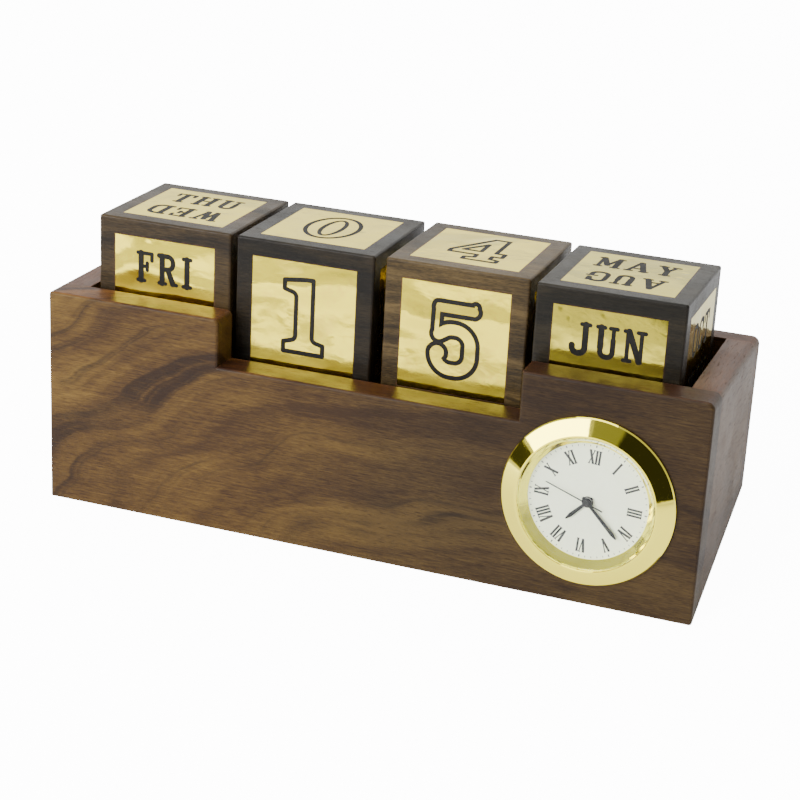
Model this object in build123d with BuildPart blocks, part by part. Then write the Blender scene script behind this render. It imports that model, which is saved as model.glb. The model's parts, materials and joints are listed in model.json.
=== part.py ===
"""Perpetual cube desk calendar with a quartz clock insert.

The holder is drawn upright, with X to the right, Y from front to back and Z up along its front
face, from the bottom edge of that face.  Every finished piece is then leaned back so that the
slanted underside lies on Z = 0, with the origin at the middle of the underside.
"""

from build123d import *
import os
from math import atan2, cos, degrees, radians, sin, tan

# ---------------------------------------------------------------- driving sizes, millimetres
LEAN = 16.3              # how far the front face leans back, in degrees

# cubes and their brass plates
CUBE = 31.2
CUBE_EASE = 0.5          # rounding of the cube edges
PLATE = 23.6             # side of a plate
PLATE_THICK = 0.6
PLATE_GLUE = 0.06        # gap around a plate in its recess
GROOVE_DEPTH = 0.25
ENAMEL_SINK = 0.04       # the enamel stands this far below the brass

# holder
FRONT_HEIGHT = 48.0      # front face, bottom edge to top
FRONT_BOARD = 7.2
BACK_BOARD = 5.2
END_BOARD = 6.3
TROUGH_DEPTH = 15.0
TROUGH_PLAY = 2.6        # trough width over the cubes
END_GAP = 1.4            # from the left end of the trough to the first cube
CUBE_GAPS = (1.4, 2.2, 1.6, 2.5)      # to the right of each cube in turn
FRONT_GAPS = (1.6, 1.5, 2.3, 1.2)     # from the front board to each cube
FLOOR_GAP = 0.05         # under the cubes
NOTCH_RIM = 4.3          # rim of the front notch over the trough floor
NOTCH_MARGIN = 1.15      # notch past the two number cubes, each side
NOTCH_SHIFT = 1.1        # notch middle to the right of the number cubes' middle
NOTCH_ROUND = 1.3
EDGE_EASE = 0.6
END_ROUND = 1.7          # top edge of the right end
LEFT_ROUND = 0.8         # top edge of the left end

# clock insert
CLOCK_FROM_END = 23.6    # clock axis to the right end of the holder
CLOCK_HEIGHT = 22.7
BORE_RADIUS = 17.5
BORE_SKIN = 0.6
BORE_DEPTH = FRONT_BOARD - BORE_SKIN
BEZEL_OVERHANG = 0.75
BEZEL_RADIUS = BORE_RADIUS + BEZEL_OVERHANG
BEZEL_RIM = 14.4         # inner rim of the bezel
BEZEL_RISE = 2.3         # rim in front of the wood
BAND_CLEARANCE = 0.08    # rubber band to bore
BAND_RIBS = 4
RIB_PITCH = 1.1
RIB_HEIGHT = 0.3
BAND_START = 1.0         # band behind the wood face
BAND_ROOM = 0.6
CASE_RADIUS = BORE_RADIUS - BAND_ROOM
CASE_WALL = 0.9
CASE_FLOOR_GAP = 0.4
CASE_DEPTH = BORE_DEPTH - CASE_FLOOR_GAP
REAR_WALL = 0.9
LENS_THICK = 1.3
LENS_SINK = 0.15         # lens front behind the bezel's rim
LENS_BEVEL = 0.45
BEZEL_LIP = 0.45         # outer edge of the bezel in front of the wood
BEZEL_SKIRT = 0.7        # wall of the skirt
SKIRT_DEPTH = 1.3        # skirt behind the wood face
SEAT = 0.05              # slack where the clock's outer pieces sit on and in each other
DIAL_SIGHT = 12.65       # radius of the dial that shows
DIAL_SINK = 0.4          # dial face behind the wood face
DIAL_THICK = 0.4
DIAL_TURN = 4.0          # the insert sits turned clockwise by this, degrees
HOUR_HAND = 6.1
MINUTE_HAND = 9.5
SECOND_HAND = 9.4
SECOND_TAIL = 3.6
HOUR_ANGLE = 220.0       # clockwise from XII, at rest
MINUTE_ANGLE = 132.0
SECOND_ANGLE = 286.0
RUN = 0.06               # radial clearance of arbors and tubes

# wheel train
MODULE = 0.2
STEP_MODULE = 0.17
SECONDS_MODULE = 0.2833
WHEEL_THICK = 0.25
SPOKE = 0.7
ARBOR = 0.3
SECONDS_ARBOR = 0.28
CANNON_OUTER = 0.7
HOUR_TUBE_OUTER = 1.0
TEETH = {"rotor": 8, "step": 48, "step_pinion": 8, "seconds": 40, "seconds_pinion": 8,
         "third": 60, "third_pinion": 8, "minute": 64, "cannon": 12, "motion": 36,
         "motion_pinion": 9, "hour": 36, "knob": 12}

# engraving
CAP_HEIGHT = 7.0
STEM = 1.3               # heavy strokes
BOWL = 1.1               # round strokes
HAIR = 0.85              # light strokes and serifs
LETTER_GAP = 0.75
WORD_OFFSET = 5.3        # word centre to plate centre
DIGIT_HEIGHT = 16.4
DIGIT_GROOVE = 1.0

# ---------------------------------------------------------------- derived sizes
trough_floor = FRONT_HEIGHT - TROUGH_DEPTH
trough_width = CUBE + TROUGH_PLAY
depth = FRONT_BOARD + trough_width + BACK_BOARD
trough_length = END_GAP + 4 * CUBE + sum(CUBE_GAPS)
length = trough_length + 2 * END_BOARD
rise = depth * tan(radians(LEAN))                # underside at the back, over the front bottom edge
foot_depth = depth / cos(radians(LEAN))          # underside, front to back
trough_left = -trough_length / 2
cube_lefts = [trough_left + END_GAP + i * CUBE + sum(CUBE_GAPS[:i]) for i in range(4)]
notch_middle = (cube_lefts[1] + cube_lefts[2] + CUBE) / 2 + NOTCH_SHIFT
notch_width = cube_lefts[2] + CUBE - cube_lefts[1] + 2 * NOTCH_MARGIN
rim_height = trough_floor + NOTCH_RIM
clock_x = length / 2 - CLOCK_FROM_END

LEANING = Location((0, -foot_depth / 2, 0), (-LEAN, 0, 0))
CLOCK = Plane(origin=(clock_x, 0, CLOCK_HEIGHT), x_dir=(1, 0, 0), z_dir=(0, -1, 0))
CLOCK_SECTION = Plane(origin=(clock_x, 0, CLOCK_HEIGHT), x_dir=(1, 0, 0), z_dir=(0, 0, -1))
CLOCK_AXIS = Axis((clock_x, 0, CLOCK_HEIGHT), (0, -1, 0))


def save(piece, name):
    """Lean a piece back with the holder, label it and write its STEP file."""
    leaning = piece.moved(LEANING)
    leaning.label = name
    export_step(leaning, f"parts/{name}.step")


# ---------------------------------------------------------------- holder
def board(front, back, top, left, right):
    """Add a board, seen from the side as running from front to back, with its foot on the slant."""
    slope = tan(radians(LEAN))
    with BuildSketch(Plane.YZ.offset(left)) as side:
        with BuildLine():
            Polyline((front, front * slope), (back, back * slope), (back, top), (front, top), close=True)
        make_face()
    extrude(side.sketch, amount=right - left)


def round_end_tops(right=True, left=True):
    """Round the top edges of the two ends of the board being built."""
    ends = edges().filter_by(Axis.Y).group_by(Axis.Z)[-1].sort_by(Axis.X)
    if right:
        fillet(ends[-1], END_ROUND)
    if left:
        fillet(ends[0], LEFT_ROUND)


def make_front_board():
    with BuildPart() as front_board:
        board(0, FRONT_BOARD, FRONT_HEIGHT, -length / 2, length / 2)
        round_end_tops()
        with BuildSketch(Plane.XZ) as notch:
            with Locations((notch_middle, rim_height)):
                Rectangle(notch_width, FRONT_HEIGHT, align=(Align.CENTER, Align.MIN))
        extrude(amount=-FRONT_BOARD, mode=Mode.SUBTRACT)
        tops = edges().filter_by(Axis.Y).group_by(Axis.Z)[-1].sort_by(Axis.X)
        fillet(tops[0:2], NOTCH_ROUND)
        front = faces().sort_by(Axis.Y)[0]
        eased = [e for e in front.outer_wire().edges() if e.center().Z > EDGE_EASE]
        fillet(eased, EDGE_EASE)
        with BuildSketch(CLOCK):
            Circle(BORE_RADIUS)
        extrude(amount=-BORE_DEPTH, mode=Mode.SUBTRACT)
    return front_board.part


def make_back_board():
    with BuildPart() as back_board:
        board(depth - BACK_BOARD, depth, FRONT_HEIGHT, -length / 2, length / 2)
        round_end_tops()
        back = faces().sort_by(Axis.Y)[-1]
        fillet([e for e in back.outer_wire().edges() if e.center().Z > rise + EDGE_EASE], EDGE_EASE)
    return back_board.part


def make_end(side):
    """End board between front and back boards: side is -1 for the left end and 1 for the right."""
    left = trough_length / 2 if side > 0 else -length / 2
    with BuildPart() as end:
        board(FRONT_BOARD, depth - BACK_BOARD, FRONT_HEIGHT, left, left + END_BOARD)
        ends = edges().filter_by(Axis.Y).group_by(Axis.Z)[-1].sort_by(Axis.X)
        if side > 0:
            fillet(ends[-1], END_ROUND)
        else:
            fillet(ends[0], LEFT_ROUND)
    return end.part


def make_base_block():
    with BuildPart() as base_block:
        board(FRONT_BOARD, depth - BACK_BOARD, trough_floor, -trough_length / 2, trough_length / 2)
    return base_block.part


# ---------------------------------------------------------------- engraved figures
# Each letter is strokes of (weight, corner rounding, points), with the cap height as 1.
LETTERS = {
    "A": [(HAIR, 0, [(0.08, 0), (0.34, 1)]), (STEM, 0, [(0.37, 1), (0.62, 0)]),
          (HAIR, 0, [(0.17, 0.3), (0.52, 0.3)]), (HAIR, 0, [(0, 0), (0.2, 0)]),
          (HAIR, 0, [(0.5, 0), (0.74, 0)])],
    "B": [(STEM, 0, [(0.12, 0), (0.12, 1)]), (BOWL, 0.22, [(0, 1), (0.5, 1), (0.5, 0.53), (0.12, 0.53)]),
          (BOWL, 0.24, [(0.12, 0.53), (0.57, 0.53), (0.57, 0), (0, 0)])],
    "C": [(BOWL, 0.24, [(0.56, 0.7), (0.56, 1), (0.05, 1), (0.05, 0), (0.56, 0), (0.56, 0.3)]),
          (HAIR, 0, [(0.6, 0.63), (0.6, 0.96)])],
    "D": [(STEM, 0, [(0.12, 0), (0.12, 1)]), (BOWL, 0.3, [(0, 1), (0.6, 1), (0.6, 0), (0, 0)])],
    "E": [(STEM, 0, [(0.12, 0), (0.12, 1)]), (HAIR, 0, [(0, 1), (0.54, 1), (0.54, 0.78)]),
          (HAIR, 0, [(0, 0), (0.57, 0), (0.57, 0.24)]), (HAIR, 0, [(0.12, 0.52), (0.38, 0.52)]),
          (HAIR, 0, [(0.38, 0.4), (0.38, 0.64)])],
    "F": [(STEM, 0, [(0.12, 0), (0.12, 1)]), (HAIR, 0, [(0, 1), (0.54, 1), (0.54, 0.76)]),
          (HAIR, 0, [(0, 0), (0.26, 0)]), (HAIR, 0, [(0.12, 0.52), (0.36, 0.52)]),
          (HAIR, 0, [(0.36, 0.39), (0.36, 0.65)])],
    "G": [(BOWL, 0.24, [(0.56, 0.7), (0.56, 1), (0.05, 1), (0.05, 0), (0.58, 0), (0.58, 0.4)]),
          (HAIR, 0, [(0.4, 0.44), (0.7, 0.44)]), (HAIR, 0, [(0.6, 0.63), (0.6, 0.96)])],
    "H": [(STEM, 0, [(0.12, 0), (0.12, 1)]), (STEM, 0, [(0.56, 0), (0.56, 1)]),
          (HAIR, 0, [(0.12, 0.52), (0.56, 0.52)]), (HAIR, 0, [(0, 0), (0.24, 0)]),
          (HAIR, 0, [(0, 1), (0.24, 1)]), (HAIR, 0, [(0.44, 0), (0.68, 0)]),
          (HAIR, 0, [(0.44, 1), (0.68, 1)])],
    "I": [(STEM, 0, [(0.14, 0), (0.14, 1)]), (HAIR, 0, [(0, 0), (0.28, 0)]),
          (HAIR, 0, [(0, 1), (0.28, 1)])],
    "J": [(STEM, 0.2, [(0.46, 1), (0.46, 0), (0.03, 0), (0.03, 0.24)]),
          (HAIR, 0, [(0.32, 1), (0.6, 1)])],
    "L": [(STEM, 0, [(0.12, 0), (0.12, 1)]), (HAIR, 0, [(0, 1), (0.26, 1)]),
          (HAIR, 0, [(0, 0), (0.55, 0), (0.55, 0.27)])],
    "M": [(HAIR, 0, [(0.1, 0), (0.1, 1)]), (STEM, 0, [(0.12, 1), (0.38, 0.2)]),
          (HAIR, 0, [(0.38, 0.2), (0.66, 1)]), (STEM, 0, [(0.68, 0), (0.68, 1)]),
          (HAIR, 0, [(0, 0), (0.2, 0)]), (HAIR, 0, [(0, 1), (0.12, 1)]),
          (HAIR, 0, [(0.56, 0), (0.8, 0)]), (HAIR, 0, [(0.68, 1), (0.8, 1)])],
    "N": [(HAIR, 0, [(0.1, 0), (0.1, 1)]), (STEM, 0, [(0.13, 1), (0.52, 0.02)]),
          (HAIR, 0, [(0.56, 0), (0.56, 1)]), (HAIR, 0, [(0, 0), (0.22, 0)]),
          (HAIR, 0, [(0, 1), (0.13, 1)]), (HAIR, 0, [(0.44, 1), (0.68, 1)])],
    "O": [(BOWL, 0.27, [(0.33, 1), (0.05, 1), (0.05, 0), (0.33, 0)]),
          (BOWL, 0.27, [(0.33, 0), (0.61, 0), (0.61, 1), (0.33, 1)])],
    "P": [(STEM, 0, [(0.12, 0), (0.12, 1)]),
          (BOWL, 0.24, [(0, 1), (0.56, 1), (0.56, 0.46), (0.12, 0.46)]), (HAIR, 0, [(0, 0), (0.26, 0)])],
    "R": [(STEM, 0, [(0.12, 0), (0.12, 1)]),
          (BOWL, 0.22, [(0, 1), (0.54, 1), (0.54, 0.52), (0.12, 0.52)]),
          (STEM, 0, [(0.34, 0.5), (0.54, 0.03)]), (HAIR, 0, [(0, 0), (0.25, 0)]),
          (HAIR, 0, [(0.5, 0), (0.68, 0)])],
    "S": [(BOWL, 0.2, [(0.5, 0.74), (0.5, 1), (0.05, 1), (0.05, 0.57), (0.53, 0.45), (0.53, 0),
                       (0.02, 0), (0.02, 0.26)])],
    "T": [(STEM, 0, [(0.31, 0), (0.31, 1)]), (HAIR, 0, [(0, 0.76), (0, 1), (0.62, 1), (0.62, 0.76)]),
          (HAIR, 0, [(0.17, 0), (0.45, 0)])],
    "U": [(STEM, 0, [(0.12, 1), (0.12, 0.3)]),
          (BOWL, 0.2, [(0.12, 0.6), (0.12, 0), (0.54, 0), (0.54, 0.6)]),
          (HAIR, 0, [(0.54, 0.3), (0.54, 1)]), (HAIR, 0, [(0, 1), (0.24, 1)]),
          (HAIR, 0, [(0.43, 1), (0.66, 1)])],
    "V": [(STEM, 0, [(0.12, 1), (0.35, 0.02)]), (HAIR, 0, [(0.36, 0), (0.6, 1)]),
          (HAIR, 0, [(0, 1), (0.24, 1)]), (HAIR, 0, [(0.49, 1), (0.7, 1)])],
    "W": [(STEM, 0, [(0.12, 1), (0.28, 0.02)]), (HAIR, 0, [(0.29, 0), (0.45, 0.9)]),
          (STEM, 0, [(0.45, 0.9), (0.62, 0.02)]), (HAIR, 0, [(0.63, 0), (0.8, 1)]),
          (HAIR, 0, [(0, 1), (0.24, 1)]), (HAIR, 0, [(0.7, 1), (0.9, 1)])],
    "Y": [(STEM, 0, [(0.12, 1), (0.34, 0.48)]), (HAIR, 0, [(0.35, 0.48), (0.57, 1)]),
          (STEM, 0, [(0.34, 0.48), (0.34, 0)]), (HAIR, 0, [(0, 1), (0.24, 1)]),
          (HAIR, 0, [(0.47, 1), (0.68, 1)]), (HAIR, 0, [(0.2, 0), (0.48, 0)])],
}

# Digits of strokes, in millimetres about the digit's middle at the drawn height.
DRAWN_HEIGHT = 17.2
DIGIT_STROKES = {
    "2": [(2.6, 2.7, [(-3.9, 4.2), (-3.9, 7.0), (3.4, 7.0), (3.4, 1.6), (-3.9, -6.2)]),
          (3.0, 0, [(-4.2, -6.6), (4.2, -6.6)]),
          (1.6, 0, [(4.6, -6.6), (5.1, -4.2)]),
          (3.8, 0, [(-3.5, 4.4), (-3.4, 4.5)])],
    "3": [(3.0, 2.4, [(-3.5, 4.2), (-3.5, 7.1), (3.2, 7.1), (3.2, 1.2), (-0.8, 0.9)]),
          (3.2, 3.0, [(-0.9, 0.5), (3.7, 0.5), (3.7, -7.0), (-4.1, -7.0), (-4.1, -3.7)]),
          (3.3, 0, [(-3.3, 5.1), (-3.2, 5.2)]),
          (3.5, 0, [(-3.6, -3.4), (-3.5, -3.3)])],
    "5": [(1.9, 0, [(-3.8, 7.6), (-4.0, 0.6)]),
          (2.9, 0, [(-3.4, 7.1), (4.3, 7.1)]),
          (1.6, 0, [(4.7, 8.2), (4.5, 6.4)]),
          (3.3, 3.5, [(-3.4, 1.0), (-1.2, 2.4), (3.9, 2.4), (3.9, -6.9), (-4.0, -6.9), (-4.0, -3.3)]),
          (3.9, 0, [(-3.6, -3.3), (-3.5, -3.2)])],
    "6": [(3.2, 2.9, [(3.5, 4.1), (3.5, 7.1), (-3.9, 7.1), (-3.9, -7.0), (-0.2, -7.0)]),
          (3.0, 3.3, [(-3.9, -2.0), (-3.9, 1.4), (4.0, 1.4), (4.0, -7.0), (-0.4, -7.0)]),
          (3.8, 0, [(3.3, 4.6), (3.4, 4.7)])],
    "7": [(2.9, 0, [(-4.4, 7.1), (4.4, 7.1)]),
          (1.7, 0, [(-4.8, 7.4), (-4.9, 4.2)]),
          (2.6, 0, [(4.2, 6.6), (-0.2, -1.4)]),
          (4.0, 0, [(-0.4, -1.4), (-1.2, -6.6)])],
}


def stroke(weight, rounding, points):
    """One pass of a round cutter along a line."""
    with BuildSketch() as cut:
        with BuildLine():
            if rounding:
                FilletPolyline(*points, radius=rounding)
            else:
                Polyline(*points)
            offset(amount=weight / 2, side=Side.BOTH)
        make_face()
    return cut.sketch


def strokes_figure(strokes, scale, grow=0.0):
    """Strokes laid over each other, enlarged by scale, then thickened by grow on each side."""
    with BuildSketch() as figure:
        for weight, rounding, points in strokes:
            add(stroke(weight + 2 * grow, rounding * scale, [(x * scale, y * scale) for x, y in points]))
    return figure.sketch


drawn_letters = {}


def letter(name):
    """A letter as (sketch, width), standing on y = 0 from x = 0."""
    if name not in drawn_letters:
        figure = strokes_figure(LETTERS[name], CAP_HEIGHT - HAIR)
        box = figure.bounding_box()
        drawn_letters[name] = (figure.moved(Location((-box.min.X, HAIR / 2))), box.size.X)
    return drawn_letters[name]


def word(text):
    """A word centred on the origin."""
    letters = [letter(name) for name in text]
    width = sum(w for _, w in letters) + LETTER_GAP * (len(letters) - 1)
    with BuildSketch() as row:
        x = -width / 2
        for figure, w in letters:
            add(figure.moved(Location((x, -CAP_HEIGHT / 2))))
            x += w + LETTER_GAP
    return row.sketch


def digit(name, grow):
    """The solid figure of a digit about the origin, thickened by grow on each side."""
    if name in DIGIT_STROKES:
        return strokes_figure(DIGIT_STROKES[name], DIGIT_HEIGHT / DRAWN_HEIGHT, grow)
    half = DIGIT_HEIGHT / 2
    with BuildSketch() as figure:
        if name == "0":
            Ellipse(5.6 + grow, half + grow)
            Ellipse(2.1 - grow, half - 2.1 - grow, mode=Mode.SUBTRACT)
        elif name == "8":
            for y, wide, high in ((3.9, 4.5, half - 3.9), (-3.6, 5.3, half - 3.6)):
                with Locations((0, y)):
                    Ellipse(wide + grow, high + grow)
            for y, wide, high in ((4.2, 1.8, 2.2), (-3.7, 2.1, 2.6)):
                with Locations((0, y)):
                    Ellipse(wide - grow, high - grow, mode=Mode.SUBTRACT)
        elif name == "1":
            offset(slab_one(half), amount=grow)
        elif name == "4":
            offset(slab_four(half), amount=grow)
    return figure.sketch


def slab_one(half):
    with BuildSketch() as figure:
        with BuildLine():
            Polyline((-4.3, -half), (4.7, -half), (4.7, -half + 2.3), (2.2, -half + 2.9), (2.2, half),
                     (0.6, half), (-4.3, half - 0.6), (-4.3, half - 2.5), (-1.6, half - 3.3),
                     (-1.6, -half + 2.9), (-4.3, -half + 2.1), close=True)
        make_face()
        inner = vertices().filter_by_position(Axis.X, -1.7, 2.3)
        fillet(inner.filter_by_position(Axis.Y, -half + 2.8, half - 3.2), 1.1)
    return figure.sketch


def slab_four(half):
    with BuildSketch() as figure:
        with BuildLine():
            Polyline((0.8, half), (3.8, half), (3.8, -1.6), (5.8, -1.6), (5.8, -4.2), (3.8, -4.2),
                     (3.8, -half + 2.0), (5.6, -half + 1.6), (5.6, -half), (-1.6, -half),
                     (-1.6, -half + 1.6), (0.4, -half + 2.0), (0.4, -4.2), (-5.8, -4.2),
                     (-5.8, -2.5), close=True)
        make_face()
        with BuildLine():
            Polyline((0.5, 3.9), (0.5, -1.6), (-3.4, -1.6), close=True)
        make_face(mode=Mode.SUBTRACT)
    return figure.sketch


def outlined(name):
    """The groove that follows a digit's outline."""
    with BuildSketch() as groove:
        add(digit(name, DIGIT_GROOVE / 2))
        add(digit(name, -DIGIT_GROOVE / 2), mode=Mode.SUBTRACT)
    return groove.sketch


def legend(text):
    """The engraving of one plate: a digit, a word in the upper half, or two words head to head."""
    if text.isdigit():
        return outlined(text)
    words = text.split("/")
    with BuildSketch() as rows:
        add(word(words[0]).moved(Location((0, WORD_OFFSET))))
        if len(words) > 1:
            add(word(words[1]).moved(Location((0, -WORD_OFFSET), 180)))
    return rows.sketch


# ---------------------------------------------------------------- cubes
CUBES = {
    "weekday": {"front": "FRI", "top": "THU/WED", "back": "MON", "bottom": "TUE",
                "right": "SAT", "left": "SUN"},
    "tens": {"front": "1", "top": "0", "back": "7", "bottom": "8", "right": "2", "left": "6"},
    "units": {"front": "5", "top": "4", "back": "0", "bottom": "1", "right": "3", "left": "2"},
    "month": {"front": "JUN/FEB", "top": "MAY/AUG", "back": "NOV/JAN", "bottom": "SEP/MAR",
              "right": "OCT/APR", "left": "DEC/JUL"},
}
FACES = {
    "front": ((0, -1, 0), (1, 0, 0)), "top": ((0, 0, 1), (1, 0, 0)), "back": ((0, 1, 0), (1, 0, 0)),
    "bottom": ((0, 0, -1), (1, 0, 0)), "right": ((1, 0, 0), (0, 1, 0)), "left": ((-1, 0, 0), (0, -1, 0)),
}


def face_plane(centre, face):
    """Plane on one face of a cube, its normal outwards and its y up the lettering."""
    normal, reading = FACES[face]
    return Plane(origin=centre + Vector(*normal) * (CUBE / 2), x_dir=reading, z_dir=normal)


def make_cube(index, name, legends):
    """Write a cube's block, its six plates and the enamel in their engraving."""
    centre = Vector(cube_lefts[index] + CUBE / 2, FRONT_BOARD + FRONT_GAPS[index] + CUBE / 2,
                    trough_floor + FLOOR_GAP + CUBE / 2)
    planes = {face: face_plane(centre, face) for face in FACES}
    with BuildPart() as block:
        with Locations(centre):
            Box(CUBE, CUBE, CUBE)
        fillet(edges(), CUBE_EASE)
        for plane in planes.values():
            with BuildSketch(plane):
                Rectangle(PLATE + 2 * PLATE_GLUE, PLATE + 2 * PLATE_GLUE)
            extrude(amount=-PLATE_THICK, mode=Mode.SUBTRACT)
    save(block.part, f"{name}_cube")
    engravings = {face: legend(text) for face, text in legends.items()}
    for face, plane in planes.items():
        with BuildPart() as plate:
            with BuildSketch(plane):
                Rectangle(PLATE, PLATE)
            extrude(amount=-PLATE_THICK)
            with BuildSketch(plane):
                add(engravings[face])
            extrude(amount=-GROOVE_DEPTH, mode=Mode.SUBTRACT)
        tag = legends[face].lower().replace("/", "_")
        save(plate.part, f"{name}_plate_{tag}")
    with BuildPart() as enamel:
        for face, plane in planes.items():
            with BuildSketch(plane.offset(-ENAMEL_SINK)):
                add(engravings[face])
            extrude(amount=-(GROOVE_DEPTH - ENAMEL_SINK))
    save(enamel.part, f"{name}_enamel")


# ---------------------------------------------------------------- clock: outer pieces
def turned(points):
    """A body of revolution about the clock axis from (radius, height in front of the wood) points."""
    with BuildPart() as body:
        with BuildSketch(CLOCK_SECTION):
            with BuildLine():
                Polyline(*points, close=True)
            make_face()
        revolve(axis=CLOCK_AXIS)
    return body.part


dial_face = -DIAL_SINK
dial_back = dial_face - DIAL_THICK
band_outer = BORE_RADIUS - BAND_CLEARANCE
case_inner = CASE_RADIUS - CASE_WALL
skirt_inner = case_inner - BEZEL_SKIRT
skirt_outer = case_inner - SEAT
dial_radius = skirt_inner - SEAT
lens_back = BEZEL_RISE - LENS_THICK
lens_front = BEZEL_RISE - LENS_SINK
case_back = -CASE_DEPTH
rear_floor = case_back + REAR_WALL


def make_bezel():
    """Cone of the bezel, its outer lip on the wood and its skirt inside the case."""
    return turned([(BEZEL_RADIUS, SEAT), (BEZEL_RADIUS, BEZEL_LIP), (BEZEL_RADIUS - 0.25, BEZEL_LIP + 0.25),
                   (BEZEL_RIM + 0.45, BEZEL_RISE), (BEZEL_RIM + 0.1, BEZEL_RISE),
                   (BEZEL_RIM, BEZEL_RISE - 0.12), (BEZEL_RIM, lens_back), (skirt_inner, lens_back),
                   (skirt_inner, -SKIRT_DEPTH), (skirt_outer, -SKIRT_DEPTH), (skirt_outer, SEAT)])


def make_lens():
    edge = BEZEL_RIM - SEAT
    return turned([(0, lens_back), (edge, lens_back), (edge, lens_front - LENS_BEVEL),
                   (edge - LENS_BEVEL, lens_front), (0, lens_front)])


def make_chapter_ring():
    """Sloping ring between the lens and the dial."""
    return turned([(DIAL_SIGHT, dial_face), (DIAL_SIGHT, dial_face + 0.12),
                   (BEZEL_RIM - 2 * SEAT, lens_back), (dial_radius, lens_back), (dial_radius, dial_face)])


def make_dial():
    hole = HOUR_TUBE_OUTER + 0.15
    return turned([(hole, dial_back), (dial_radius, dial_back), (dial_radius, dial_face), (hole, dial_face)])


def make_band():
    """Ribbed rubber band round the case."""
    root = band_outer - RIB_HEIGHT
    low = -BAND_START - BAND_RIBS * RIB_PITCH
    points = [(CASE_RADIUS + 0.02, -BAND_START), (CASE_RADIUS + 0.02, low)]
    for i in range(BAND_RIBS):
        base = low + i * RIB_PITCH
        points += [(root, base), (band_outer, base + 0.3 * RIB_PITCH)]
        points += [(band_outer, base + 0.55 * RIB_PITCH), (root, base + 0.85 * RIB_PITCH)]
    points += [(root, -BAND_START)]
    return turned(points)


# ---------------------------------------------------------------- clock: wheel train
def polar(distance, angle, start=(0, 0)):
    return (start[0] + distance * cos(radians(angle)), start[1] + distance * sin(radians(angle)))


def direction(a, b):
    return degrees(atan2(b[1] - a[1], b[0] - a[0]))


def reach(driver, driven, module):
    """Distance between the arbors of two meshing wheels."""
    return (TEETH[driver] + TEETH[driven]) * module / 2


centre_at = (0, 0)
third_at = polar(reach("seconds_pinion", "third", MODULE), 200)
step_at = polar(reach("step_pinion", "seconds", SECONDS_MODULE), 60)
rotor_at = polar(reach("rotor", "step", STEP_MODULE), 130, step_at)
motion_at = polar(reach("cannon", "motion", MODULE), 320)
knob_at = polar(reach("motion", "knob", MODULE), 260, motion_at)
minute_module = MODULE * reach("seconds_pinion", "third", 1) / reach("third_pinion", "minute", 1)
hour_module = MODULE * reach("cannon", "motion", 1) / reach("motion_pinion", "hour", 1)

hour_layer = -1.05
motion_layer = -1.5
plate_front = -1.95
PLATE_DEPTH = 0.6
plate_back = plate_front - PLATE_DEPTH
minute_layer = -2.75
third_layer = -3.2
seconds_layer = -3.65
step_layer = -4.1
LAP = 0.08               # pinion in front of the wheel that it drives
PIVOT = 0.3              # front pivot in the movement plate
PIVOT_HOLE = 0.05        # pivot holes are this much deeper than the pivots
pivot_end = rear_floor - 0.35
STEM_RADIUS = 0.5
KNOB_RADIUS = 2.4
KNOB_FLUTES = 16
FLUTE_RADIUS = 0.22


def toothed(teeth, module, mate, own, tooth):
    """Outline of a wheel: straight-flanked teeth, one of them (or one gap) facing its mate."""
    pitch = 360 / teeth
    radius = teeth * module / 2
    root = radius - 1.15 * module
    tip = radius + 0.75 * module
    start = direction(own, mate) + (0 if tooth else pitch / 2)
    points = []
    for i in range(teeth):
        middle = start + i * pitch
        for r, share in ((root, -0.24), (tip, -0.1), (tip, 0.1), (root, 0.24)):
            points.append(polar(r, middle + share * pitch))
    with BuildSketch() as wheel:
        with BuildLine():
            Polyline(*points, close=True)
        make_face()
    return wheel.sketch


def disc(at, radius, front, back, mode=Mode.ADD):
    """Add or cut a round length between two heights in front of the wood."""
    with BuildSketch(CLOCK.offset(back)) as round_end:
        with Locations(at):
            Circle(radius)
    extrude(round_end.sketch, amount=front - back, mode=mode)


def wheel_disc(outline, at, front, thick, spokes=0, rim=0.0, hub=0.0):
    """Add a toothed disc, crossed out between its hub and rim to leave spokes."""
    with BuildSketch(CLOCK.offset(front - thick)) as wheel:
        add(outline.moved(Location(at)))
        if spokes:
            add(crossings(spokes, rim, hub).moved(Location(at)), mode=Mode.SUBTRACT)
    extrude(wheel.sketch, amount=thick)


def crossings(spokes, rim, hub):
    with BuildSketch() as openings:
        Circle(rim)
        Circle(hub, mode=Mode.SUBTRACT)
        with PolarLocations(0, spokes):
            Rectangle(rim + 1, SPOKE, align=(Align.MIN, Align.CENTER), mode=Mode.SUBTRACT)
    return openings.sketch


def pinion(name, module, at, mate, front, back):
    """Add a pinion with a gap facing its mate, between two heights."""
    wheel_disc(toothed(TEETH[name], module, mate, at, False), at, front, front - back)


def wheel(name, module, at, mate, front, spokes, rim, hub):
    """Add a wheel with a tooth facing its mate."""
    outline = toothed(TEETH[name], module, mate, at, True)
    wheel_disc(outline, at, front, WHEEL_THICK, spokes, rim, hub)


def make_rotor():
    """Magnet, pinion and arbor of the motor."""
    with BuildPart() as rotor:
        pinion("rotor", STEP_MODULE, rotor_at, step_at, step_layer + 0.1, step_layer - 0.35)
        disc(rotor_at, MAGNET_RADIUS, plate_back - 0.1, plate_back - 0.9)
        disc(rotor_at, ARBOR, plate_back + PIVOT, pivot_end)
    return rotor.part


def make_step_wheel():
    with BuildPart() as step:
        wheel("step", STEP_MODULE, step_at, rotor_at, step_layer, 4, 3.3, 1.1)
        pinion("step_pinion", SECONDS_MODULE, step_at, centre_at, seconds_layer + LAP, step_layer)
        disc(step_at, ARBOR, plate_back + PIVOT, pivot_end)
    return step.part


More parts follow.
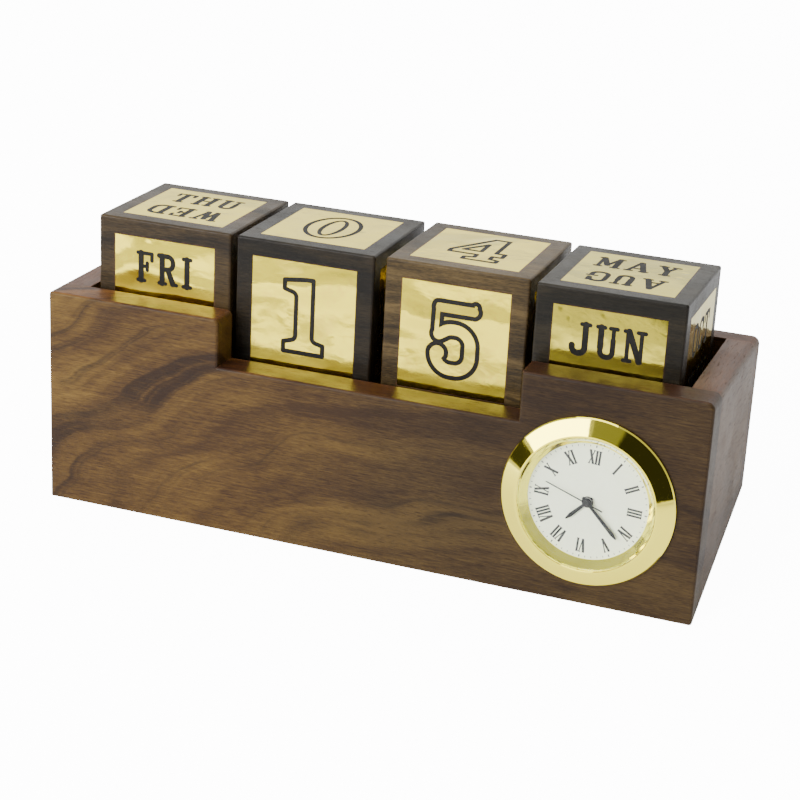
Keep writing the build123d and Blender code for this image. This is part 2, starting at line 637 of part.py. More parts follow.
def make_seconds_wheel():
    """Wheel whose long arbor runs forward through the minute tube to the second hand."""
    with BuildPart() as seconds:
        wheel("seconds", SECONDS_MODULE, centre_at, step_at, seconds_layer, 4, 4.6, 1.3)
        pinion("seconds_pinion", MODULE, centre_at, third_at, third_layer + LAP, seconds_layer)
        disc(centre_at, SECONDS_ARBOR, second_level, pivot_end)
    return seconds.part


def make_third_wheel():
    with BuildPart() as third:
        wheel("third", MODULE, third_at, centre_at, third_layer, 4, 5.1, 1.3)
        pinion("third_pinion", minute_module, third_at, centre_at, minute_layer + LAP, third_layer)
        disc(third_at, ARBOR, plate_back + PIVOT, pivot_end)
    return third.part


def make_minute_wheel():
    """Wheel, tube and cannon pinion, bored for the seconds arbor."""
    foot = minute_layer - WHEEL_THICK
    with BuildPart() as minute:
        wheel("minute", minute_module, centre_at, third_at, minute_layer, 4, 5.1, 1.3)
        pinion("cannon", MODULE, centre_at, motion_at, motion_layer + 0.05, motion_layer - 0.3)
        disc(centre_at, CANNON_OUTER, minute_level, foot)
        disc(centre_at, SECONDS_ARBOR + RUN, minute_level, foot, Mode.SUBTRACT)
    return minute.part


def make_motion_wheel():
    """Wheel and pinion that turn on the movement plate's post."""
    with BuildPart() as motion:
        wheel("motion", MODULE, motion_at, centre_at, motion_layer, 3, 2.6, 1.2)
        pinion("motion_pinion", hour_module, motion_at, centre_at, hour_layer + LAP, motion_layer)
        disc(motion_at, ARBOR + RUN, hour_layer + LAP, motion_layer - WHEEL_THICK, Mode.SUBTRACT)
    return motion.part


def make_hour_wheel():
    foot = hour_layer - WHEEL_THICK
    with BuildPart() as hour:
        wheel("hour", hour_module, centre_at, motion_at, hour_layer, 4, 3.0, 1.5)
        disc(centre_at, HOUR_TUBE_OUTER, hour_level, foot)
        disc(centre_at, CANNON_OUTER + RUN, hour_level, foot, Mode.SUBTRACT)
    return hour.part


def make_setting_knob():
    """Pinion, stem and fluted knob in the window of the case's rear wall."""
    with BuildPart() as knob:
        pinion("knob", MODULE, knob_at, motion_at, motion_layer + 0.05, motion_layer - 0.3)
        disc(knob_at, STEM_RADIUS, motion_layer, rear_floor - 0.1)
        with BuildSketch(CLOCK.offset(case_back + 0.1)):
            with Locations(knob_at):
                Circle(KNOB_RADIUS)
                with PolarLocations(KNOB_RADIUS, KNOB_FLUTES):
                    Circle(FLUTE_RADIUS, mode=Mode.SUBTRACT)
        extrude(amount=REAR_WALL - 0.15)
    return knob.part


# ---------------------------------------------------------------- clock: hands
hour_level = dial_face + 0.37
minute_level = hour_level + 0.32
second_level = minute_level + 0.3
HAND_THICK = 0.12


def pointing(clock_angle):
    """Direction of a hand, from its clockwise angle on the turned dial."""
    turn = radians(clock_angle + DIAL_TURN)
    return (sin(turn), 0, cos(turn))


def make_hand(reach, tail, root_width, blade_width, hub, bore, level, angle):
    """A hand with a round hub, lying at one level, widest just short of its blunt tip."""
    with BuildPart() as hand:
        back = CLOCK.offset(level - HAND_THICK).origin
        with BuildSketch(Plane(origin=back, x_dir=pointing(angle), z_dir=CLOCK.z_dir)):
            with BuildLine():
                shoulder = reach - 1.6 * blade_width
                Polyline((-tail, -root_width / 2), (shoulder, -blade_width / 2), (reach, -blade_width / 6),
                         (reach, blade_width / 6), (shoulder, blade_width / 2), (-tail, root_width / 2),
                         close=True)
            make_face()
            Circle(hub)
            if bore:
                Circle(bore, mode=Mode.SUBTRACT)
        extrude(amount=HAND_THICK)
        if not bore:
            disc(centre_at, hub * 0.8, level + 0.14, level)
    return hand.part


# ---------------------------------------------------------------- clock: case and electrics
def make_case():
    with BuildPart() as case:
        disc(centre_at, CASE_RADIUS, 0.0, case_back)
        disc(centre_at, case_inner, 0.0, rear_floor, Mode.SUBTRACT)
        disc(knob_at, KNOB_RADIUS + 0.2, rear_floor, case_back, Mode.SUBTRACT)
        disc(centre_at, SECONDS_ARBOR + RUN, rear_floor, pivot_end - PIVOT_HOLE, Mode.SUBTRACT)
        for at in (third_at, step_at, rotor_at):
            disc(at, ARBOR + RUN, rear_floor, pivot_end - PIVOT_HOLE, Mode.SUBTRACT)
    return case.part


def make_movement_plate():
    """Plate across the case, with the motion wheel's post and the arbors' front holes."""
    with BuildPart() as plate:
        disc(centre_at, case_inner - 0.02, plate_front, plate_back)
        disc(motion_at, ARBOR, hour_layer + 0.02, plate_front)
        disc(centre_at, CANNON_OUTER + RUN, plate_front, plate_back, Mode.SUBTRACT)
        disc(knob_at, STEM_RADIUS + RUN, plate_front, plate_back, Mode.SUBTRACT)
        for at in (third_at, step_at, rotor_at):
            disc(at, ARBOR + RUN, plate_back + PIVOT + PIVOT_HOLE, plate_back, Mode.SUBTRACT)
    return plate.part


BOARD_AT = (-3.6, -10.9)
BOARD_SIZE = (9.0, 5.0)
BOARD_THICK = 0.4
CELL_AT = (9.6, -6.4)
CELL_RADIUS = 3.4
CELL_THICK = 2.1
CRYSTAL_RADIUS = 0.74
CRYSTAL_LENGTH = 5.6
COIL_AT = (0, 13.1)
COIL_LENGTH = 12.0
CHEEK = 0.6
COIL_RADIUS = 0.95
CHEEK_RADIUS = 1.05
MAGNET_RADIUS = 1.2
STATOR_HOLE = 1.5
STATOR_THICK = 0.5


def make_circuit_board():
    """Board with its chip blob, and the strip under the button cell."""
    front = plate_back
    board_edge = BOARD_AT[0] + BOARD_SIZE[0] / 2
    with BuildPart() as board:
        with BuildSketch(CLOCK.offset(front)):
            with Locations(BOARD_AT):
                RectangleRounded(*BOARD_SIZE, 0.6)
        extrude(amount=-BOARD_THICK)
        disc((BOARD_AT[0] - 2.6, BOARD_AT[1] + 0.9), 1.2, front - BOARD_THICK, front - BOARD_THICK - 0.55)
        with BuildSketch(CLOCK.offset(front)):
            with Locations(((board_edge + CELL_AT[0]) / 2, BOARD_AT[1] + 0.2)):
                Rectangle(CELL_AT[0] - board_edge, 1.2)
            with Locations((CELL_AT[0] - 0.6, (BOARD_AT[1] + CELL_AT[1]) / 2)):
                Rectangle(1.2, CELL_AT[1] - BOARD_AT[1] + 1.0)
        extrude(amount=-0.15)
    return board.part


def make_quartz_crystal():
    lying = plate_back - BOARD_THICK - CRYSTAL_RADIUS - 0.01
    end = CLOCK.origin + Vector(BOARD_AT[0] - 2.2, -lying, BOARD_AT[1] - 1.7)
    with BuildPart() as can:
        with BuildSketch(Plane(origin=end, x_dir=(0, 1, 0), z_dir=(1, 0, 0))):
            Circle(CRYSTAL_RADIUS)
        extrude(amount=CRYSTAL_LENGTH)
        fillet(edges().filter_by(GeomType.CIRCLE), 0.2)
    return can.part


def make_button_cell():
    front = plate_back - 0.16
    with BuildPart() as cell:
        disc(CELL_AT, CELL_RADIUS - 0.35, front, front - 0.5)
        disc(CELL_AT, CELL_RADIUS, front - 0.5, front - CELL_THICK)
        fillet(edges().filter_by(GeomType.CIRCLE).sort_by(Axis.Y)[-1], 0.25)
    return cell.part


def make_drive_coil():
    """Wound coil between two cheeks."""
    middle = plate_back - STATOR_THICK - 0.1 - CHEEK_RADIUS
    with BuildPart() as coil:
        for start, stretch, radius in ((0, CHEEK, CHEEK_RADIUS),
                                       (CHEEK, COIL_LENGTH - 2 * CHEEK, COIL_RADIUS),
                                       (COIL_LENGTH - CHEEK, CHEEK, CHEEK_RADIUS)):
            end = CLOCK.origin + Vector(COIL_AT[0] - COIL_LENGTH / 2 + start, -middle, COIL_AT[1])
            with BuildSketch(Plane(origin=end, x_dir=(0, 1, 0), z_dir=(1, 0, 0))):
                Circle(radius)
            extrude(amount=stretch)
    return coil.part


def make_stator():
    """Laminated stator round the rotor's magnet, its two arms under the coil's ends."""
    with BuildPart() as stator:
        with BuildSketch(CLOCK.offset(plate_back)):
            with Locations((COIL_AT[0], (rotor_at[1] + COIL_AT[1]) / 2)):
                Rectangle(COIL_LENGTH, COIL_AT[1] - rotor_at[1] + 1.2)
            with Locations(rotor_at):
                Circle(STATOR_HOLE + 1.1)
                Circle(STATOR_HOLE, mode=Mode.SUBTRACT)
            with Locations((COIL_AT[0], COIL_AT[1] + 0.3)):
                Rectangle(COIL_LENGTH - 5.0, 2.4, mode=Mode.SUBTRACT)
        extrude(amount=-STATOR_THICK)
    return stator.part


# ---------------------------------------------------------------- build
def main():
    os.makedirs("parts", exist_ok=True)
    save(make_front_board(), "front_board")
    save(make_back_board(), "back_board")
    save(make_end(-1), "left_end")
    save(make_end(1), "right_end")
    save(make_base_block(), "base_block")
    for index, (name, legends) in enumerate(CUBES.items()):
        make_cube(index, name, legends)
    clock = {
        "clock_bezel": make_bezel(),
        "clock_lens": make_lens(),
        "chapter_ring": make_chapter_ring(),
        "clock_dial": make_dial(),
        "clock_case": make_case(),
        "retaining_band": make_band(),
        "hour_hand": make_hand(HOUR_HAND, 1.4, 0.5, 0.82, 1.2, HOUR_TUBE_OUTER, hour_level, HOUR_ANGLE),
        "minute_hand": make_hand(MINUTE_HAND, 1.4, 0.5, 0.78, 1.0, CANNON_OUTER, minute_level,
                                 MINUTE_ANGLE),
        "second_hand": make_hand(SECOND_HAND, SECOND_TAIL, 0.26, 0.18, 0.85, 0, second_level + HAND_THICK,
                                 SECOND_ANGLE),
        "movement_plate": make_movement_plate(),
        "circuit_board": make_circuit_board(),
        "quartz_crystal": make_quartz_crystal(),
        "button_cell": make_button_cell(),
        "drive_coil": make_drive_coil(),
        "stator": make_stator(),
        "rotor": make_rotor(),
        "step_wheel": make_step_wheel(),
        "seconds_wheel": make_seconds_wheel(),
        "third_wheel": make_third_wheel(),
        "minute_wheel": make_minute_wheel(),
        "motion_wheel": make_motion_wheel(),
        "hour_wheel": make_hour_wheel(),
        "setting_knob": make_setting_knob(),
    }
    for name, piece in clock.items():
        save(piece, name)


main()
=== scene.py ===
"""Cube desk calendar with a quartz clock insert: materials, dial print, studio and camera.

Everything is in metres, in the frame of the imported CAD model.  The CAD nodes keep their shapes and
get their finishes here.  The dial's printing is built here as fine raised ink.
"""

from __future__ import annotations

import json
import logging
import math
from dataclasses import dataclass, field
from enum import Enum
from typing import Any, Iterable, Sequence

import bmesh
import bpy
from mathutils import Matrix, Vector

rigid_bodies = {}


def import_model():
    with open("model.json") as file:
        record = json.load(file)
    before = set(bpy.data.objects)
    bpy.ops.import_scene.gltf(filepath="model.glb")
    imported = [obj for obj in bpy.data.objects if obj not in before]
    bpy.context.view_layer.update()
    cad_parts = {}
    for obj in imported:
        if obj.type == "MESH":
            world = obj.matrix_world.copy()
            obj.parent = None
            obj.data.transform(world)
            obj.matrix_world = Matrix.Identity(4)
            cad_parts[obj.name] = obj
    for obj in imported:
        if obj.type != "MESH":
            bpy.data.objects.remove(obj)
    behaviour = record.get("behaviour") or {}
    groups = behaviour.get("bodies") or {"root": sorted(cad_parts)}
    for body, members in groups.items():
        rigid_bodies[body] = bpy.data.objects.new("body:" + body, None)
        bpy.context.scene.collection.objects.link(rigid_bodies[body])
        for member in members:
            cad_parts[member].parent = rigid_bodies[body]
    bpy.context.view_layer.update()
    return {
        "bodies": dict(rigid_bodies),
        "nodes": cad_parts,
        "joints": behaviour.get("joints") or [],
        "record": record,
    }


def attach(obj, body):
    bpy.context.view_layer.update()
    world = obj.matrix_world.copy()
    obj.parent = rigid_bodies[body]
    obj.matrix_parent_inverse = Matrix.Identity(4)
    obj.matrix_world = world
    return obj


log = logging.getLogger("calendar")

Colour = tuple[float, float, float]
Point = tuple[float, float]
Stroke = tuple[Point, Point, float]

LEAN = math.radians(16.3)
UPWARD = (0.0, math.sin(LEAN), math.cos(LEAN))
METRES_TO_MM = 1000.0


# ---------------------------------------------------------------- shader helpers
class Shade:
    """A node tree with short calls for the nodes that the finishes share."""

    def __init__(self, tree: bpy.types.NodeTree) -> None:
        """Keep the tree that the nodes go into."""
        self.tree = tree

    def put(self, socket: bpy.types.NodeSocket, value: Any) -> None:
        """Link a socket, or set a plain value.

        Args:
            socket: the input to feed.
            value: an output socket, or a number, vector or colour.
        """
        if isinstance(value, bpy.types.NodeSocket):
            self.tree.links.new(value, socket)
        elif hasattr(socket.default_value, "__len__") and len(socket.default_value) == 4 and len(value) == 3:
            socket.default_value = (*value, 1.0)
        else:
            socket.default_value = value

    def node(self, kind: str, inputs: dict[str | int, Any] | None = None, **settings: Any) -> bpy.types.Node:
        """Add a node.

        Args:
            kind: the node's type name, without its ShaderNode prefix.
            inputs: values or sockets by input name or index.
            settings: properties of the node.

        Returns:
            The new node.
        """
        made = self.tree.nodes.new("ShaderNode" + kind)
        for name, value in settings.items():
            setattr(made, name, value)
        for key, value in (inputs or {}).items():
            self.put(made.inputs[key], value)
        return made

    def maths(self, operation: str, a: Any, b: Any = 0.0, c: Any = 0.0,
              clamp: bool = False) -> bpy.types.NodeSocket:
        """Combine values and return the result's socket."""
        return self.node("Math", {0: a, 1: b, 2: c}, operation=operation, use_clamp=clamp).outputs[0]

    def noise(self, vector: Any, scale: float, detail: float = 4.0, rough: float = 0.55,
              distortion: float = 0.0) -> bpy.types.NodeSocket:
        """Fractal noise, as a value around one half."""
        made = self.node("TexNoise", {"Vector": vector, "Scale": scale, "Detail": detail,
                                      "Roughness": rough, "Distortion": distortion})
        return made.outputs["Fac"]

    def scaled(self, vector: Any, scale: Sequence[float], turn: Sequence[float] = (0, 0, 0),
               shift: Sequence[float] = (0, 0, 0)) -> bpy.types.NodeSocket:
        """A vector turned, scaled and shifted."""
        made = self.node("Mapping", {"Vector": vector, "Location": shift, "Rotation": turn, "Scale": scale})
        return made.outputs[0]

    def window(self, value: Any, low: float, high: float, out_low: float = 0.0,
               out_high: float = 1.0) -> bpy.types.NodeSocket:
        """A value mapped from low..high to out_low..out_high, smoothly and clamped."""
        made = self.node("MapRange", {"Value": value, "From Min": low, "From Max": high, "To Min": out_low,
                                      "To Max": out_high}, interpolation_type="SMOOTHSTEP")
        return made.outputs["Result"]

    def blend(self, factor: Any, a: Any, b: Any, mode: str = "MIX") -> bpy.types.NodeSocket:
        """Two colours mixed by a factor."""
        made = self.node("Mix", {0: factor, 6: a, 7: b}, data_type="RGBA", blend_type=mode)
        return made.outputs[2]

    def group(self, made: bpy.types.NodeTree, **inputs: Any) -> bpy.types.Node:
        """Place a shared effect.

        Args:
            made: the effect's node group.
            inputs: values or sockets by input name, with an underscore for each space.

        Returns:
            The group's node in this tree.
        """
        placed = self.tree.nodes.new("ShaderNodeGroup")
        placed.node_tree = made
        for name, value in inputs.items():
            self.put(placed.inputs[name.replace("_", " ")], value)
        return placed


def new_effect(name: str, inputs: dict[str, tuple[str, Any]], outputs: Iterable[str]
               ) -> tuple[bpy.types.NodeTree, Shade, bpy.types.Node, bpy.types.Node]:
    """Start a shared shader node group.

    Args:
        name: the group's name.
        inputs: socket type and default by input name.
        outputs: names of the value outputs.

    Returns:
        The tree, its Shade helper, its input node and its output node.
    """
    tree = bpy.data.node_groups.new(name, "ShaderNodeTree")
    for label, (kind, default) in inputs.items():
        socket = tree.interface.new_socket(label, in_out="INPUT", socket_type="NodeSocket" + kind)
        if kind == "Float":
            socket.default_value = default
    for label in outputs:
        tree.interface.new_socket(label, in_out="OUTPUT", socket_type="NodeSocketFloat")
    shade = Shade(tree)
    return tree, shade, tree.nodes.new("NodeGroupInput"), tree.nodes.new("NodeGroupOutput")


class Effects:
    """Shader node groups used by more than one finish.

    The tuples are scales of noise along and across the grain or sheet, per millimetre.
    """

    DRIFT = (0.012, 0.030, 0.030)
    WAVER = (0.05, 0.16, 0.16)
    CLOUD = (0.035, 0.05, 0.05)
    FIBRE_LINES = (0.09, 2.4, 2.4)
    BREAKUP = (0.022, 0.05, 0.05)
    PORES = (0.34, 4.4, 4.4)
    PORE_PATCH = (0.10, 0.3, 0.3)
    FIBRE = (1.0, 2.3, 2.3)
    WORN_PATCH = (0.5, 0.5, 0.5)
    SHEET_WAVE = (0.045, 0.045, 0.10)
    SHEET_RIPPLE = (0.30, 0.30, 0.42)
    DINGS = (0.21, 0.21, 0.21)
    TARNISH = (0.16, 0.16, 0.16)
    SCRATCHES = (3.2, 3.2, 0.12)

    def __init__(self) -> None:
        """Build each group once."""
        self.figure = self._figure()
        self.wear = self._wear()
        self.sheet = self._sheet()
        self.handling = self._handling()

    def _figure(self) -> bpy.types.NodeTree:
        """Wood figure in millimetres: growth bands round a heart line, streaks, pores and relief.

        Returns:
            The node group.
        """
        inputs = {"Vector": ("Vector", None), "Heart X": ("Float", 0.0), "Heart Z": ("Float", 0.0),
                  "Band": ("Float", 9.0), "Seed": ("Float", 0.0), "Fineness": ("Float", 1.0)}
        tree, s, given, out = new_effect("wood figure", inputs, ("Bands", "Streaks", "Pores", "Relief"))
        vector = given.outputs["Vector"]
        offset = s.node("CombineXYZ", {"X": given.outputs["Seed"], "Y": given.outputs["Seed"]}).outputs[0]
        moved = s.node("VectorMath", {0: vector, 1: offset}, operation="ADD").outputs[0]
        slow = s.noise(s.scaled(moved, self.DRIFT), 1.0, 2.0, 0.45, 0.3)
        waver = s.noise(s.scaled(moved, self.WAVER, shift=(2.0, 4.0, 6.0)), 1.0, 3.0, 0.5)
        parts = s.node("SeparateXYZ", {0: vector})
        across = s.maths("SUBTRACT", parts.outputs["X"], given.outputs["Heart X"])
        rise = s.maths("SUBTRACT", parts.outputs["Z"], given.outputs["Heart Z"])
        flat = s.maths("MULTIPLY", across, 0.55)
        squared = s.maths("ADD", s.maths("MULTIPLY", flat, flat), s.maths("MULTIPLY", rise, rise))
        ring = s.maths("ADD", s.maths("SQRT", squared), s.maths("MULTIPLY", parts.outputs["Y"], 0.35))
        ring = s.maths("ADD", ring, s.maths("MULTIPLY", slow, 30.0))
        ring = s.maths("ADD", ring, s.maths("MULTIPLY", waver, 2.4))
        phase = s.maths("DIVIDE", ring, given.outputs["Band"])
        line = s.node("CombineXYZ", {"X": phase, "Y": given.outputs["Seed"],
                                     "Z": s.maths("MULTIPLY", across, 0.006)}).outputs[0]
        bands = s.noise(line, 0.8, 5.0, 0.58)
        cloud = s.noise(s.scaled(moved, self.CLOUD, shift=(5.0, 1.0, 8.0)), 1.0, 4.0, 0.55, 0.4)
        slanted = s.scaled(moved, self.FIBRE_LINES, turn=(0, math.radians(-9), 0))
        fibre_lines = s.noise(slanted, 1.0, 3.0, 0.55, 0.4)
        other_bands = s.scaled(line, (1.15, 1.0, 1.0), shift=(7.3, 2.0, 0.0))
        streaks = s.window(s.noise(other_bands, 1.0, 5.0, 0.66), 0.51, 0.63)
        breakup = s.noise(s.scaled(moved, self.BREAKUP, shift=(3.0, 5.0, 1.0)), 1.0, 3.0)
        away = s.window(s.maths("ABSOLUTE", across), 8.0, 85.0, -0.06, 0.10)
        streaks = s.maths("MULTIPLY", streaks, s.window(s.maths("ADD", breakup, away), 0.42, 0.60))
        streaks = s.maths("MULTIPLY", streaks, s.window(fibre_lines, 0.30, 0.52, 0.35, 1.0))
        thin = s.node("VectorMath", {0: s.scaled(moved, self.PORES, turn=(0, math.radians(4), 0)),
                                     3: given.outputs["Fineness"]}, operation="SCALE").outputs[0]
        pore_noise = s.noise(thin, 1.0, 2.0, 0.5, 0.3)
        patch = s.noise(s.scaled(moved, self.PORE_PATCH, shift=(1.0, 9.0, 4.0)), 1.0, 3.0)
        pores = s.window(s.maths("ADD", pore_noise, s.maths("MULTIPLY", patch, 0.18)), 0.64, 0.78)
        fibre = s.noise(s.scaled(thin, self.FIBRE, shift=(4.0, 1.0, 2.0)), 1.0, 3.0, 0.6)
        relief = s.maths("SUBTRACT", s.maths("MULTIPLY", fibre, 0.35), s.maths("MULTIPLY", pores, 0.8))
        mixed = s.maths("ADD", s.maths("MULTIPLY", bands, 0.40), s.maths("MULTIPLY", fibre, 0.18))
        mixed = s.maths("ADD", mixed, s.maths("MULTIPLY", fibre_lines, 0.16))
        mixed = s.maths("ADD", mixed, s.maths("MULTIPLY", cloud, 0.28))
        mixed = s.maths("ADD", mixed, s.maths("MULTIPLY", s.maths("SUBTRACT", pore_noise, 0.5), 0.30))
        for name, value in (("Bands", mixed), ("Streaks", streaks), ("Pores", pores), ("Relief", relief)):
            s.put(out.inputs[name], value)
        return tree

    def _wear(self) -> bpy.types.NodeTree:
        """Mask of the rubbed outer edges, broken up so that no edge is worn evenly.

        Returns:
            The node group.
        """
        inputs = {"Vector": ("Vector", None), "Width": ("Float", 0.0006), "Breakup": ("Float", 0.5)}
        tree, s, given, out = new_effect("edge wear", inputs, ("Mask",))
        bevel = s.node("Bevel", {"Radius": given.outputs["Width"]}, samples=6)
        geometry = s.node("NewGeometry")
        dot = s.node("VectorMath", {0: bevel.outputs[0], 1: geometry.outputs["Normal"]},
                     operation="DOT_PRODUCT").outputs["Value"]
        edge = s.window(dot, 0.985, 0.80)
        noise = s.noise(s.scaled(given.outputs["Vector"], self.WORN_PATCH), 1.0, 5.0, 0.6)
        broken = s.window(noise, 0.42, 0.60)
        kept = s.maths("SUBTRACT", 1.0, s.maths("MULTIPLY", given.outputs["Breakup"],
                                                s.maths("SUBTRACT", 1.0, broken)))
        s.put(out.inputs["Mask"], s.maths("MULTIPLY", edge, kept, clamp=True))
        return tree

    def _sheet(self) -> bpy.types.NodeTree:
        """Hand-laid thin sheet metal: slow waves, small dings, scratches and a tarnish mask.

        Returns:
            The node group.
        """
        inputs = {"Vector": ("Vector", None), "Seed": ("Float", 0.0)}
        tree, s, given, out = new_effect("thin sheet", inputs, ("Relief", "Tarnish", "Scratches"))
        offset = s.node("CombineXYZ", {"X": given.outputs["Seed"], "Z": given.outputs["Seed"]}).outputs[0]
        moved = s.node("VectorMath", {0: given.outputs["Vector"], 1: offset}, operation="ADD").outputs[0]
        wave = s.noise(s.scaled(moved, self.SHEET_WAVE), 1.0, 1.0, 0.3, 0.5)
        ripple = s.noise(s.scaled(moved, self.SHEET_RIPPLE), 1.0, 2.0, 0.45, 0.4)
        dings = s.node("TexVoronoi", {"Vector": s.scaled(moved, self.DINGS), "Scale": 1.0},
                       feature="SMOOTH_F1").outputs["Distance"]
        ding = s.window(dings, 0.26, 0.0)
        relief = s.maths("ADD", wave, s.maths("MULTIPLY", ripple, 0.05))
        relief = s.maths("SUBTRACT", relief, s.maths("MULTIPLY", ding, 0.035))
        stained = s.noise(s.scaled(moved, self.TARNISH, shift=(8.0, 3.0, 1.0)), 1.0, 6.0, 0.65)
        tarnish = s.window(stained, 0.50, 0.72)
        lines = s.noise(s.scaled(moved, self.SCRATCHES, turn=(0, math.radians(52), 0)), 1.0, 2.0, 0.5)
        scratches = s.window(lines, 0.69, 0.74)
        for name, value in (("Relief", relief), ("Tarnish", tarnish), ("Scratches", scratches)):
            s.put(out.inputs[name], value)
        return tree

    def _handling(self) -> bpy.types.NodeTree:
        """Smudges from fingers and polishing cloths, for roughness.

        Returns:
            The node group.
        """
        inputs = {"Vector": ("Vector", None), "Size": ("Float", 8.0)}
        tree, s, given, out = new_effect("handling", inputs, ("Smudge",))
        share = s.maths("DIVIDE", 1.0, given.outputs["Size"])
        scaled = s.node("VectorMath", {0: given.outputs["Vector"], 3: share}, operation="SCALE").outputs[0]
        s.put(out.inputs["Smudge"], s.window(s.noise(scaled, 1.0, 5.0, 0.6, 0.4), 0.35, 0.68))
        return tree


# ---------------------------------------------------------------- finishes
@dataclass(frozen=True)
class Finish:
    """A named material; each kind of finish builds its own nodes."""

    name: str

    def start(self) -> tuple[bpy.types.Material, Shade, bpy.types.Node, bpy.types.NodeSocket]:
        """Begin a node material.

        Returns:
            The material, its helper, its shader node and the object coordinates in millimetres,
            turned upright with the leaning holder.
        """
        material = bpy.data.materials.new(self.name)
        material.use_nodes = True
        shade = Shade(material.node_tree)
        shader = material.node_tree.nodes["Principled BSDF"]
        coords = shade.node("TexCoord").outputs["Object"]
        upright = shade.scaled(coords, (METRES_TO_MM,) * 3, turn=(LEAN, 0.0, 0.0))
        return material, shade, shader, upright


@dataclass(frozen=True)
class WoodFinish(Finish):
    """Lacquered hardwood, its colours running from the dark streaks to the light bands."""

    dark: Colour
    middle: Colour
    light: Colour
    streak: Colour
    heart: Point = (20.0, -55.0)
    band: float = 9.0
    seed: float = 0.0
    fineness: float = 1.0
    # Strength of the painted shade that darkens the board towards the right.
    right_painted_shade: float = 0.0
    # Tint of the painted light on faces turned upward; None leaves it out.
    painted_top_light: Colour | None = (1.25, 0.95, 1.05)
    rough: float = 0.46
    coat: float = 0.05
    coat_rough: float = 0.24
    wear: float = 0.35
    turn: tuple[float, float, float] = (0.0, 0.0, 0.0)
    stops: tuple[float, float, float] = (0.41, 0.49, 0.59)
    # Colour of the painted shade on the right, partly the wood's own cooler purple tone.
    painted_shade_tint: Colour = (0.42, 0.44, 0.62)
    pore: Colour = (0.34, 0.28, 0.26)
    rubbed: Colour = (0.30, 0.13, 0.07)
    edge_width: float = 0.0007
    smudge_size: float = 14.0
    gloss: float = 0.16
    pore_depth: float = 0.00012

    def make(self, effects: Effects) -> bpy.types.Material:
        """Build the material.

        Args:
            effects: the shared node groups.

        Returns:
            The material.
        """
        material, s, shader, upright = self.start()
        grain = s.scaled(upright, (1.0, 1.0, 1.0), turn=self.turn)
        figure = s.group(effects.figure, Vector=grain, Heart_X=self.heart[0], Heart_Z=self.heart[1],
                         Band=self.band, Seed=self.seed, Fineness=self.fineness)
        ramp = s.node("ValToRGB", {"Fac": figure.outputs["Bands"]})
        stops = ramp.color_ramp.elements
        stops[0].position, stops[0].color = self.stops[0], (*self.dark, 1.0)
        stops[1].position, stops[1].color = self.stops[2], (*self.light, 1.0)
        stops.new(self.stops[1]).color = (*self.middle, 1.0)
        colour = s.blend(s.maths("MULTIPLY", figure.outputs["Streaks"], 0.80), ramp.outputs[0], self.streak)
        # Painted shade, mixed with the wood's own cooler purple tone: the colour darkens towards the right
        # along a wandering edge.
        if self.right_painted_shade:
            along = s.node("SeparateXYZ", {0: upright}).outputs["X"]
            wander = s.maths("MULTIPLY", s.noise(s.scaled(upright, (0.03,) * 3), 1.0), 60.0)
            drift = s.maths("ADD", along, wander)
            painted_shade_tint = s.blend(1.0, colour, self.painted_shade_tint, "MULTIPLY")
            colour = s.blend(s.window(drift, -12.0, 62.0, 0.0, self.right_painted_shade), colour, painted_shade_tint)
        pored = s.blend(0.85, colour, self.pore, "MULTIPLY")
        colour = s.blend(s.maths("MULTIPLY", figure.outputs["Pores"], 0.90), colour, pored)
        # Painted light: faces turned upward are made lighter and redder, as if lit from above.
        if self.painted_top_light:
            facing = s.node("VectorMath", {0: s.node("NewGeometry").outputs["Normal"], 1: UPWARD},
                            operation="DOT_PRODUCT")
            top_lit_colour = s.blend(1.0, colour, self.painted_top_light, "MULTIPLY")
            colour = s.blend(s.window(facing.outputs["Value"], 0.55, 0.90), colour, top_lit_colour)
        edge = s.group(effects.wear, Vector=upright, Width=self.edge_width, Breakup=0.7).outputs["Mask"]
        rubbed = s.blend(0.6, colour, self.rubbed)
        colour = s.blend(s.maths("MULTIPLY", edge, self.wear), colour, rubbed)
        s.put(shader.inputs["Base Color"], colour)
        smudge = s.group(effects.handling, Vector=upright, Size=self.smudge_size).outputs["Smudge"]
        rough = s.maths("ADD", s.maths("MULTIPLY", smudge, 0.10), self.rough - 0.05)
        rough = s.maths("ADD", rough, s.maths("MULTIPLY", figure.outputs["Pores"], 0.12), clamp=True)
        s.put(shader.inputs["Roughness"], rough)
        coat = s.maths("SUBTRACT", self.coat, s.maths("MULTIPLY", figure.outputs["Pores"], self.coat * 0.5))
        s.put(shader.inputs["Coat Weight"], coat)
        shader.inputs["Coat Roughness"].default_value = self.coat_rough
        shader.inputs["Specular IOR Level"].default_value = self.gloss
        bump = s.node("Bump", {"Height": figure.outputs["Relief"], "Strength": 0.25,
                               "Distance": self.pore_depth})
        s.put(shader.inputs["Normal"], bump.outputs[0])
        return material


